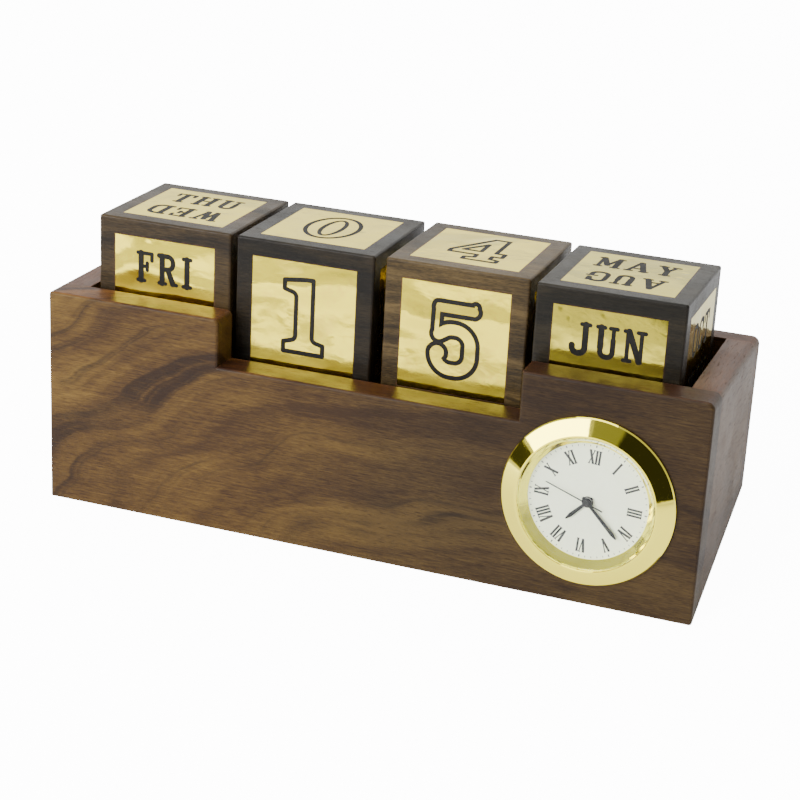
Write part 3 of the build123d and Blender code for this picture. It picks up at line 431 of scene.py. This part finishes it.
@dataclass(frozen=True)
class BrassFinish(Finish):
    """Thin polished brass sheet, laid by hand."""

    colour: Colour
    tarnished: Colour
    seed: float
    rough: float = 0.10
    edge_colour: Colour = (0.62, 0.36, 0.14)
    edge_width: float = 0.0004
    smudge_size: float = 5.0
    wave_depth: float = 0.0009
    scratch_depth: float = 0.00002

    def make(self, effects: Effects) -> bpy.types.Material:
        """Build the material.

        Args:
            effects: the shared node groups.

        Returns:
            The material.
        """
        material, s, shader, upright = self.start()
        sheet = s.group(effects.sheet, Vector=upright, Seed=self.seed)
        smudge = s.group(effects.handling, Vector=upright, Size=self.smudge_size).outputs["Smudge"]
        edge = s.group(effects.wear, Vector=upright, Width=self.edge_width, Breakup=0.6).outputs["Mask"]
        colour = s.blend(s.maths("MULTIPLY", sheet.outputs["Tarnish"], 0.45), self.colour, self.tarnished)
        colour = s.blend(s.maths("MULTIPLY", edge, 0.5), colour, self.edge_colour)
        s.put(shader.inputs["Base Color"], colour)
        shader.inputs["Metallic"].default_value = 1.0
        rough = s.maths("ADD", s.maths("MULTIPLY", smudge, 0.07), self.rough)
        rough = s.maths("ADD", rough, s.maths("MULTIPLY", sheet.outputs["Scratches"], 0.10))
        rough = s.maths("ADD", rough, s.maths("MULTIPLY", sheet.outputs["Tarnish"], 0.06), clamp=True)
        s.put(shader.inputs["Roughness"], rough)
        bump = s.node("Bump", {"Height": sheet.outputs["Relief"], "Strength": 1.0,
                               "Distance": self.wave_depth})
        fine = s.node("Bump", {"Height": sheet.outputs["Scratches"], "Strength": 0.15,
                               "Distance": self.scratch_depth, "Normal": bump.outputs[0]})
        s.put(shader.inputs["Normal"], fine.outputs[0])
        return material


@dataclass(frozen=True)
class GiltFinish(Finish):
    """Mirror-polished gilt, with the faintest polishing haze."""

    colour: Colour = (0.98, 0.85, 0.10)
    rough: float = 0.04
    speck: Colour = (0.45, 0.33, 0.12)
    smudge_size: float = 6.0
    haze_depth: float = 0.0001

    def make(self, effects: Effects) -> bpy.types.Material:
        """Build the material.

        Args:
            effects: the shared node groups.

        Returns:
            The material.
        """
        material, s, shader, upright = self.start()
        smudge = s.group(effects.handling, Vector=upright, Size=self.smudge_size).outputs["Smudge"]
        specks = s.window(s.noise(s.scaled(upright, (2.6,) * 3), 1.0, 3.0), 0.70, 0.76)
        colour = s.blend(s.maths("MULTIPLY", specks, 0.35), self.colour, self.speck)
        s.put(shader.inputs["Base Color"], colour)
        shader.inputs["Metallic"].default_value = 1.0
        s.put(shader.inputs["Roughness"], s.maths("ADD", s.maths("MULTIPLY", smudge, 0.04), self.rough))
        height = s.noise(s.scaled(upright, (0.5,) * 3), 1.0, 2.0)
        bump = s.node("Bump", {"Height": height, "Strength": 0.06, "Distance": self.haze_depth})
        s.put(shader.inputs["Normal"], bump.outputs[0])
        return material


@dataclass(frozen=True)
class PaintFinish(Finish):
    """Paint, enamel, ink or moulded plastic, with a fine texture and handling marks."""

    colour: Colour
    shifted: Colour
    rough: float = 0.4
    texture: float = 1.5
    relief: float = 0.00002
    metal: float = 0.0
    coat: float = 0.0
    gloss: float = 0.2
    edge_width: float = 0.0002
    smudge_size: float = 4.0

    def make(self, effects: Effects) -> bpy.types.Material:
        """Build the material.

        Args:
            effects: the shared node groups.

        Returns:
            The material.
        """
        material, s, shader, upright = self.start()
        mottled = s.noise(s.scaled(upright, (self.texture,) * 3), 1.0, 4.0)
        smudge = s.group(effects.handling, Vector=upright, Size=self.smudge_size).outputs["Smudge"]
        edge = s.group(effects.wear, Vector=upright, Width=self.edge_width, Breakup=0.8).outputs["Mask"]
        colour = s.blend(s.window(mottled, 0.35, 0.70), self.colour, self.shifted)
        rubbed = tuple(min(1.0, channel * 1.6 + 0.02) for channel in self.colour)
        colour = s.blend(s.maths("MULTIPLY", edge, 0.25), colour, rubbed)
        s.put(shader.inputs["Base Color"], colour)
        shader.inputs["Metallic"].default_value = self.metal
        shader.inputs["Coat Weight"].default_value = self.coat
        shader.inputs["Specular IOR Level"].default_value = self.gloss
        rough = s.maths("ADD", s.maths("MULTIPLY", smudge, 0.10), self.rough, clamp=True)
        s.put(shader.inputs["Roughness"], rough)
        bump = s.node("Bump", {"Height": mottled, "Strength": 0.4, "Distance": self.relief})
        s.put(shader.inputs["Normal"], bump.outputs[0])
        return material


@dataclass(frozen=True)
class WoundFinish(Finish):
    """Fine enamelled wire in close turns round the X axis."""

    colour: Colour = (0.70, 0.27, 0.10)
    pitch: float = 0.12
    gap_shade: float = 0.35
    metal: float = 0.9
    rough: float = 0.25
    smudge_size: float = 3.0
    wire_depth: float = 0.00003

    def make(self, effects: Effects) -> bpy.types.Material:
        """Build the material.

        Args:
            effects: the shared node groups.

        Returns:
            The material.
        """
        material, s, shader, upright = self.start()
        along = s.node("SeparateXYZ", {0: upright}).outputs["X"]
        turn = s.maths("SINE", s.maths("MULTIPLY", along, 2.0 * math.pi / self.pitch))
        between = tuple(channel * self.gap_shade for channel in self.colour)
        s.put(shader.inputs["Base Color"], s.blend(s.window(turn, -1.0, 1.0), between, self.colour))
        shader.inputs["Metallic"].default_value = self.metal
        smudge = s.group(effects.handling, Vector=upright, Size=self.smudge_size).outputs["Smudge"]
        s.put(shader.inputs["Roughness"], s.maths("ADD", s.maths("MULTIPLY", smudge, 0.15), self.rough))
        bump = s.node("Bump", {"Height": turn, "Strength": 0.6, "Distance": self.wire_depth})
        s.put(shader.inputs["Normal"], bump.outputs[0])
        return material


@dataclass(frozen=True)
class GlassFinish(Finish):
    """Clear mineral glass with a faint green tint."""

    tint: Colour = (0.97, 1.0, 0.985)
    haze: float = 0.015
    ior: float = 1.30
    smudge_size: float = 9.0

    def make(self, effects: Effects) -> bpy.types.Material:
        """Build the material.

        Args:
            effects: the shared node groups.

        Returns:
            The material.
        """
        material, s, shader, upright = self.start()
        smudge = s.group(effects.handling, Vector=upright, Size=self.smudge_size).outputs["Smudge"]
        s.put(shader.inputs["Roughness"], s.maths("MULTIPLY", smudge, self.haze))
        shader.inputs["Base Color"].default_value = (*self.tint, 1.0)
        shader.inputs["Metallic"].default_value = 0.0
        shader.inputs["Transmission Weight"].default_value = 1.0
        shader.inputs["IOR"].default_value = self.ior
        return material


class Wood(Enum):
    """Finishes of the boards and of the cubes' blocks."""

    FRONT = WoodFinish(
        "front board wood", (0.040, 0.018, 0.0060), (0.080, 0.041, 0.0105), (0.150, 0.085, 0.0190),
        (0.014, 0.006, 0.004), heart=(34.0, -30.0), band=5.5, seed=3.1, right_painted_shade=0.95, coat=0.03)
    BACK = WoodFinish(
        "back board wood", (0.034, 0.014, 0.005), (0.085, 0.038, 0.010), (0.145, 0.070, 0.017),
        (0.015, 0.006, 0.003), heart=(-60.0, -45.0), band=9.0, seed=11.7, right_painted_shade=0.4)
    LEFT_END = WoodFinish(
        "left end wood", (0.042, 0.018, 0.006), (0.085, 0.039, 0.012), (0.125, 0.060, 0.018),
        (0.020, 0.009, 0.004), heart=(0.0, -20.0), band=4.5, seed=5.0,
        turn=(0.0, math.radians(90), math.radians(90)), coat=0.15, coat_rough=0.2)
    RIGHT_END = WoodFinish(
        "right end wood", (0.038, 0.019, 0.008), (0.062, 0.032, 0.013), (0.095, 0.051, 0.020),
        (0.020, 0.010, 0.005), heart=(0.0, -20.0), band=4.0, seed=8.2,
        turn=(0.0, math.radians(90), math.radians(90)), coat=0.1, coat_rough=0.24)
    BASE = WoodFinish(
        "base block wood", (0.060, 0.030, 0.014), (0.120, 0.060, 0.026), (0.180, 0.095, 0.040),
        (0.030, 0.015, 0.008), seed=14.0, coat=0.1)
    WEEKDAY = WoodFinish(
        "weekday cube wood", (0.011, 0.007, 0.0035), (0.030, 0.019, 0.008), (0.066, 0.041, 0.015),
        (0.011, 0.007, 0.004), heart=(-60.0, 10.0), band=5.0, seed=21.0, painted_top_light=None, fineness=1.3,
        rough=0.40, coat=0.07, coat_rough=0.16, wear=0.5)
    TENS = WoodFinish(
        "tens cube wood", (0.004, 0.003, 0.002), (0.008, 0.006, 0.0035), (0.022, 0.015, 0.007),
        (0.004, 0.003, 0.0025), heart=(-10.0, 0.0), band=5.0, seed=31.0, painted_top_light=None, fineness=1.4,
        rough=0.38, coat=0.06, coat_rough=0.14, wear=0.25)
    UNITS = WoodFinish(
        "units cube wood", (0.013, 0.008, 0.0035), (0.046, 0.029, 0.010), (0.125, 0.082, 0.030),
        (0.012, 0.007, 0.003), heart=(20.0, 20.0), band=3.0, seed=41.0, painted_top_light=None, fineness=1.8,
        rough=0.42, coat=0.05, coat_rough=0.18, wear=0.45)
    MONTH = WoodFinish(
        "month cube wood", (0.005, 0.0042, 0.0025), (0.010, 0.008, 0.0045), (0.024, 0.018, 0.009),
        (0.004, 0.0035, 0.0025), heart=(60.0, 0.0), band=5.0, seed=51.0, painted_top_light=None, fineness=1.4,
        rough=0.38, coat=0.06, coat_rough=0.14, wear=0.25)


class Metal(Enum):
    """Finishes of bare metal pieces."""

    GILT = GiltFinish("polished gilt")
    STEEL = PaintFinish("drawn steel", (0.62, 0.62, 0.60), (0.50, 0.50, 0.49), 0.22, 3.0, metal=1.0)
    COPPER = WoundFinish("coil winding")


class Paint(Enum):
    """Finishes of painted, printed and moulded pieces."""

    ENAMEL = PaintFinish("black enamel", (0.006, 0.006, 0.005), (0.014, 0.012, 0.009), 0.55, 1.2, 0.00004)
    DIAL = PaintFinish("dial paint", (0.92, 0.935, 0.72), (0.90, 0.915, 0.69), 0.45, 0.8, 0.000004)
    INK = PaintFinish("dial ink", (0.025, 0.025, 0.025), (0.045, 0.043, 0.040), 0.5, 4.0, 0.000002)
    HAND = PaintFinish("hand paint", (0.006, 0.006, 0.006), (0.012, 0.012, 0.012), 0.45, 3.0, 0.000004)
    CASE = PaintFinish("case plastic", (0.020, 0.020, 0.021), (0.032, 0.032, 0.034), 0.5, 2.5, 0.00003)
    PLATE = PaintFinish("movement plate plastic", (0.55, 0.54, 0.50), (0.48, 0.47, 0.44), 0.45, 2.5, 0.00002)
    WHEEL = PaintFinish("wheel plastic", (0.82, 0.80, 0.72), (0.74, 0.72, 0.64), 0.4, 3.0, 0.00001)
    BOARD = PaintFinish("circuit board lacquer", (0.02, 0.16, 0.06), (0.03, 0.22, 0.09), 0.3, 2.0, 0.00001,
                        coat=0.4)
    RUBBER = PaintFinish("band rubber", (0.62, 0.62, 0.58), (0.52, 0.52, 0.48), 0.75, 2.0, 0.00003)


class Finishes:
    """Materials made from their finishes, each one once."""

    def __init__(self, effects: Effects) -> None:
        """Keep the shared effects and start with no materials."""
        self.effects = effects
        self.made: dict[str, bpy.types.Material] = {}

    def get(self, finish: Finish) -> bpy.types.Material:
        """Find the material of a finish, and make it on first use.

        Args:
            finish: the finish.

        Returns:
            Its material.
        """
        if finish.name not in self.made:
            self.made[finish.name] = finish.make(self.effects)
        return self.made[finish.name]


def dress(piece: bpy.types.Object, material: bpy.types.Material) -> None:
    """Give a whole piece one material.

    Args:
        piece: the mesh object.
        material: its finish.
    """
    piece.data.materials.clear()
    piece.data.materials.append(material)
    for polygon in piece.data.polygons:
        polygon.material_index = 0
    log.info("dressed %s in %s", piece.name, material.name)


# ---------------------------------------------------------------- holder
@dataclass
class Holder:
    """The glued wooden holder."""

    boards: dict[str, Wood] = field(default_factory=lambda: {
        "front_board": Wood.FRONT, "back_board": Wood.BACK, "left_end": Wood.LEFT_END,
        "right_end": Wood.RIGHT_END, "base_block": Wood.BASE})

    def build(self, frame: dict[str, Any], finishes: Finishes) -> None:
        """Dress each board in its own wood.

        Args:
            frame: the loaded frame.
            finishes: the materials made so far.
        """
        for name, wood in self.boards.items():
            dress(frame["nodes"][name], finishes.get(wood.value))


# ---------------------------------------------------------------- cubes
@dataclass
class Cube:
    """One calendar cube: block, brass plates and the enamel in their engraving."""

    name: str
    wood: Wood
    seed: float
    colour: Colour = (0.93, 0.76, 0.07)
    tarnished: Colour = (0.74, 0.57, 0.09)
    seed_step: float = 13.0

    def build(self, frame: dict[str, Any], finishes: Finishes) -> None:
        """Dress the block, the enamel and the six plates.

        Args:
            frame: the loaded frame.
            finishes: the materials made so far.
        """
        nodes = frame["nodes"]
        dress(nodes[f"{self.name}_cube"], finishes.get(self.wood.value))
        dress(nodes[f"{self.name}_enamel"], finishes.get(Paint.ENAMEL.value))
        plates = sorted(name for name in nodes if name.startswith(f"{self.name}_plate_"))
        for index, plate in enumerate(plates):
            brass = BrassFinish(f"{self.name} brass {index + 1}", self.colour, self.tarnished,
                                seed=self.seed + self.seed_step * index)
            dress(nodes[plate], finishes.get(brass))


# ---------------------------------------------------------------- clock
@dataclass
class Clock:
    """The clock insert: finishes of its pieces, and the print on its dial."""

    centre_x: float = 0.04965
    height: float = 0.0227
    foot_depth: float = 0.0481348
    dial_level: float = -0.0004
    turn: float = math.radians(4.0)
    minute_radius: float = 0.01215
    numeral_radius: float = 0.0098
    numeral_height: float = 0.0030
    numeral_width: float = 0.72
    letter_widths: dict[str, float] = field(default_factory=lambda: {"I": 0.30, "V": 0.62, "X": 0.62})
    serif: float = 0.065
    serif_level: float = 0.475
    thick: float = 0.165
    thin: float = 0.075
    hour_dash: Point = (0.00024, 0.00022)
    minute_dash: Point = (0.00018, 0.00012)
    ink: float = 0.00001
    finishes_by_node: dict[str, Metal | Paint] = field(default_factory=lambda: {
        "clock_bezel": Metal.GILT, "chapter_ring": Metal.GILT, "clock_dial": Paint.DIAL,
        "hour_hand": Paint.HAND, "minute_hand": Paint.HAND, "second_hand": Paint.HAND,
        "clock_case": Paint.CASE,
        "retaining_band": Paint.RUBBER, "movement_plate": Paint.PLATE, "circuit_board": Paint.BOARD,
        "quartz_crystal": Metal.STEEL, "button_cell": Metal.STEEL, "drive_coil": Metal.COPPER,
        "stator": Metal.STEEL, "rotor": Paint.WHEEL, "step_wheel": Paint.WHEEL, "seconds_wheel": Paint.WHEEL,
        "third_wheel": Paint.WHEEL, "minute_wheel": Paint.WHEEL, "motion_wheel": Paint.WHEEL,
        "hour_wheel": Paint.WHEEL, "setting_knob": Paint.CASE})

    def place(self) -> Matrix:
        """Find the dial's plane: x right, y up the dial and z out of it.

        Returns:
            Placement of the plane in the frame.
        """
        cos, sin = math.cos(LEAN), math.sin(LEAN)
        out = Vector((0.0, -cos, sin))
        up = Vector((0.0, sin, cos))
        right = Vector((1.0, 0.0, 0.0))
        origin = Vector((self.centre_x, self.height * sin - self.foot_depth / 2, self.height * cos))
        origin += out * self.dial_level
        matrix = Matrix((right, up, out)).transposed().to_4x4()
        return Matrix.Translation(origin) @ matrix

    def bars(self, numeral: str) -> list[Stroke]:
        """Strokes of a Roman numeral, centred, one unit high.

        Args:
            numeral: the letters I, V and X.

        Returns:
            Start, end and thickness of each stroke.
        """
        x = -sum(self.letter_widths[letter] for letter in numeral) / 2
        strokes: list[Stroke] = []
        serif, thick, thin, ends = self.serif, self.thick, self.thin, (-self.serif_level, self.serif_level)
        for letter in numeral:
            w = self.letter_widths[letter]
            left, middle, right = x + 0.05, x + w / 2, x + w - 0.05
            if letter == "I":
                strokes += [((middle, -0.5), (middle, 0.5), thick * 0.9)]
                strokes += [((x + 0.02, y), (x + w - 0.02, y), serif) for y in ends]
            elif letter == "V":
                top = self.serif_level
                strokes += [((left + 0.06, 0.5), (middle, -0.5), thick),
                            ((right - 0.03, 0.5), (middle, -0.5), thin),
                            ((left - 0.03, top), (left + 0.2, top), serif),
                            ((right - 0.17, top), (right + 0.05, top), serif)]
            else:
                strokes += [((left + 0.05, 0.5), (right - 0.05, -0.5), thick),
                            ((right - 0.05, 0.5), (left + 0.05, -0.5), thin)]
                for y in ends:
                    strokes += [((left - 0.03, y), (left + 0.17, y), serif),
                                ((right - 0.17, y), (right + 0.03, y), serif)]
            x += w
        return strokes

    def stroke(self, mesh: bmesh.types.BMesh, start: Vector, end: Vector, width: float) -> None:
        """Lay one straight stroke of raised ink.

        Args:
            mesh: the mesh being built, in the dial's plane.
            start: start of the middle line.
            end: end of the middle line.
            width: width of the stroke.
        """
        along = (end - start).normalized()
        side = Vector((-along.y, along.x)) * (width / 2)
        corners = (start + side, start - side, end - side, end + side)
        low = [mesh.verts.new((c.x, c.y, 0.0)) for c in corners]
        high = [mesh.verts.new((c.x, c.y, self.ink)) for c in corners]
        mesh.faces.new(high)
        mesh.faces.new(list(reversed(low)))
        for i in range(4):
            j = (i + 1) % 4
            mesh.faces.new((low[i], low[j], high[j], high[i]))

    def raised_print(self, name: str, mesh: bmesh.types.BMesh,
                     material: bpy.types.Material) -> bpy.types.Object:
        """Turn a mesh in the dial's plane into a piece that rides on the clock.

        Args:
            name: the piece's name.
            mesh: the mesh, freed here.
            material: its finish.

        Returns:
            The new object.
        """
        mesh.transform(self.place())
        bmesh.ops.recalc_face_normals(mesh, faces=mesh.faces)
        data = bpy.data.meshes.new(name)
        mesh.to_mesh(data)
        mesh.free()
        data.materials.append(material)
        piece = bpy.data.objects.new(name, data)
        bpy.context.scene.collection.objects.link(piece)
        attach(piece, "clock")
        log.info("built %s with %d faces", name, len(data.polygons))
        return piece

    def minute_track(self, material: bpy.types.Material) -> bpy.types.Object:
        """Print the ring of minute dashes, bolder at the hours.

        Args:
            material: the ink.

        Returns:
            The printed ring.
        """
        mesh = bmesh.new()
        for minute in range(60):
            angle = math.radians(6 * minute) + self.turn
            along = Vector((math.sin(angle), math.cos(angle)))
            half, width = self.minute_dash if minute % 5 else self.hour_dash
            self.stroke(mesh, along * (self.minute_radius - half), along * (self.minute_radius + half), width)
        return self.raised_print("dial_minute_track", mesh, material)

    def numerals(self, material: bpy.types.Material) -> bpy.types.Object:
        """Print the hour numerals, each with its foot towards the middle of the dial.

        Args:
            material: the ink.

        Returns:
            The printed numerals.
        """
        mesh = bmesh.new()
        names = ("XII", "I", "II", "III", "IV", "V", "VI", "VII", "VIII", "IX", "X", "XI")
        for hour, numeral in enumerate(names):
            angle = math.radians(30 * hour) + self.turn
            up = Vector((math.sin(angle), math.cos(angle)))
            right = Vector((up.y, -up.x))
            middle = up * self.numeral_radius
            for start, end, width in self.bars(numeral):
                a = middle + (right * start[0] * self.numeral_width + up * start[1]) * self.numeral_height
                b = middle + (right * end[0] * self.numeral_width + up * end[1]) * self.numeral_height
                self.stroke(mesh, a, b, width * self.numeral_height)
        return self.raised_print("dial_numerals", mesh, material)

    def build(self, frame: dict[str, Any], finishes: Finishes) -> None:
        """Dress the clock's nodes and print its dial.

        Args:
            frame: the loaded frame.
            finishes: the materials made so far.
        """
        for name, finish in self.finishes_by_node.items():
            dress(frame["nodes"][name], finishes.get(finish.value))
        dress(frame["nodes"]["clock_lens"], finishes.get(GlassFinish("mineral glass")))
        frame["nodes"]["clock_lens"].visible_shadow = False
        ink = finishes.get(Paint.INK.value)
        self.minute_track(ink)
        self.numerals(ink)


# ---------------------------------------------------------------- studio
@dataclass(frozen=True)
class SoftBox:
    """A rectangular soft light; along is the direction of its first side, power is in watts."""

    name: str
    at: tuple[float, float, float]
    along: tuple[float, float, float]
    size: Point
    power: float


@dataclass
class Studio:
    """Pale floor, soft lights, pale surroundings and the camera.

    The camera stands at an azimuth to the right of the front and an elevation above level, and is
    rolled about its own axis.  The edges of the surroundings are pairs of values of a direction's
    x, y or z between which one shade gives way to the next.
    """

    azimuth: float = math.radians(22.313)
    elevation: float = math.radians(35.875)
    roll: float = math.radians(-3.446)
    aim: tuple[float, float, float] = (0.00285, 0.0, 0.02523)
    distance: float = 0.43463
    lens: float = 91.14
    sensor: float = 36.0
    near: float = 0.01
    floor_size: float = 6.0
    floor_drop: float = 0.00002
    paper: Colour = (0.95, 0.95, 0.95)
    paper_rough: float = 0.9
    paper_glow: float = 12.0
    paper_fill: float = 0.30
    lit_point: tuple[float, float, float] = (0.0, 0.0, 0.03)
    boxes: tuple[SoftBox, ...] = (
        SoftBox("overhead", (-0.10, 0.05, 0.90), (1.0, 0.0, 0.0), (0.60, 0.60), 3.6),
        SoftBox("key", (-0.463, -0.615, 0.480), (0.62, -0.18, 0.43), (0.72, 0.50), 11.5))
    low_wall: Colour = (1.50, 1.49, 1.43)
    high_wall: Colour = (0.66, 0.67, 0.69)
    rear_wall: Colour = (1.85, 1.84, 1.76)
    wall_rise: Point = (0.02, 0.30)
    wall_rear: Point = (0.30, 0.70)
    drape_light: Colour = (0.30, 0.31, 0.26)
    drape_dark: Colour = (0.03, 0.03, 0.03)
    drape_front: Point = (-0.54, -0.58)
    drape_side: Point = (-0.215, -0.195)
    drape_foot: Point = (0.01, 0.03)
    drape_top: Point = (0.80, 0.76)
    drape_fold: Point = (0.10, 0.16)
    gap_colour: Colour = (0.05, 0.05, 0.045)
    gap_side: Point = (-0.72, -0.76)
    gap_foot: Point = (-0.01, 0.01)
    gap_top: Point = (0.24, 0.22)

    def camera(self) -> None:
        """Set the scene's camera at the viewing angle."""
        data = bpy.data.cameras.new("camera")
        data.lens = self.lens
        data.sensor_width = self.sensor
        data.clip_start = self.near
        level = math.cos(self.elevation)
        back = Vector((math.sin(self.azimuth) * level, -math.cos(self.azimuth) * level,
                       math.sin(self.elevation)))
        flat_right = Vector((math.cos(self.azimuth), math.sin(self.azimuth), 0.0))
        flat_up = back.cross(flat_right)
        cos, sin = math.cos(self.roll), math.sin(self.roll)
        right = flat_right * cos + flat_up * sin
        up = flat_up * cos - flat_right * sin
        turned = Matrix((right, up, back)).transposed().to_4x4()
        made = bpy.data.objects.new("camera", data)
        made.matrix_world = Matrix.Translation(Vector(self.aim) + back * self.distance) @ turned
        bpy.context.scene.collection.objects.link(made)
        bpy.context.scene.camera = made

    def floor(self) -> None:
        """Lay a wide pale floor under the holder."""
        mesh = bmesh.new()
        bmesh.ops.create_grid(mesh, x_segments=2, y_segments=2, size=self.floor_size)
        data = bpy.data.meshes.new("floor")
        mesh.to_mesh(data)
        mesh.free()
        floor = bpy.data.objects.new("floor", data)
        floor.location = (0.0, 0.0, -self.floor_drop)
        bpy.context.scene.collection.objects.link(floor)
        material = bpy.data.materials.new("floor paper")
        material.use_nodes = True
        shader = material.node_tree.nodes["Principled BSDF"]
        shader.inputs["Base Color"].default_value = (*self.paper, 1.0)
        shader.inputs["Roughness"].default_value = self.paper_rough
        s = Shade(material.node_tree)
        shader.inputs["Emission Color"].default_value = (1.0, 1.0, 1.0, 1.0)
        seen = s.node("LightPath").outputs["Is Camera Ray"]
        glow = s.maths("MULTIPLY_ADD", seen, self.paper_glow, self.paper_fill)
        s.put(shader.inputs["Emission Strength"], glow)
        data.materials.append(material)

    def world(self) -> None:
        """Set pale surroundings with a dark drape ahead of the front and a dark gap on the left."""
        world = bpy.data.worlds.new("studio")
        world.use_nodes = True
        bpy.context.scene.world = world
        s = Shade(world.node_tree)
        background = world.node_tree.nodes["Background"]
        parts = s.node("SeparateXYZ", {0: s.node("TexCoord").outputs["Generated"]})
        x, y, z = (parts.outputs[axis] for axis in "XYZ")
        wall = s.blend(s.window(z, *self.wall_rise), self.low_wall, self.high_wall)
        wall = s.blend(s.window(y, *self.wall_rear), wall, self.rear_wall)
        ahead = s.maths("MULTIPLY", s.window(y, *self.drape_front), s.window(z, *self.drape_top))
        beside = s.maths("MULTIPLY", s.window(x, *self.drape_side), s.window(z, *self.drape_foot))
        folds = s.blend(s.window(x, *self.drape_fold), self.drape_light, self.drape_dark)
        wall = s.blend(s.maths("MULTIPLY", beside, ahead), wall, folds)
        left = s.maths("MULTIPLY", s.window(x, *self.gap_side), s.window(z, *self.gap_foot))
        gap = s.maths("MULTIPLY", left, s.window(z, *self.gap_top))
        s.put(background.inputs["Color"], s.blend(gap, wall, self.gap_colour))
        background.inputs["Strength"].default_value = 1.0

    def light(self, box: SoftBox) -> None:
        """Hang a soft box that faces the calendar.

        Args:
            box: the light to hang.
        """
        data = bpy.data.lights.new(box.name, "AREA")
        data.shape = "RECTANGLE"
        data.size, data.size_y = box.size
        data.energy = box.power
        away = (Vector(box.at) - Vector(self.lit_point)).normalized()
        across = Vector(box.along)
        across = (across - away * across.dot(away)).normalized()
        turned = Matrix((across, away.cross(across), away)).transposed().to_4x4()
        made = bpy.data.objects.new(box.name, data)
        made.matrix_world = Matrix.Translation(box.at) @ turned
        bpy.context.scene.collection.objects.link(made)

    def build(self) -> None:
        """Set floor, surroundings, lights and camera."""
        self.floor()
        self.world()
        for box in self.boxes:
            self.light(box)
        self.camera()


# The month cube's brass colours are darker as painted shade, standing in for a darker reflection in its
# plates.
CUBES = (Cube("weekday", Wood.WEEKDAY, 2.0), Cube("tens", Wood.TENS, 37.0), Cube("units", Wood.UNITS, 71.0),
         Cube("month", Wood.MONTH, 104.0, (0.66, 0.56, 0.07), (0.50, 0.41, 0.06)))


def main() -> None:
    """Build the calendar's sub-assemblies in order."""
    logging.basicConfig(level=logging.INFO, format="%(name)s: %(message)s")
    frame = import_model()
    finishes = Finishes(Effects())
    Holder().build(frame, finishes)
    for cube in CUBES:
        cube.build(frame, finishes)
    Clock().build(frame, finishes)
    Studio().build()


if __name__ == "__main__":
    main()
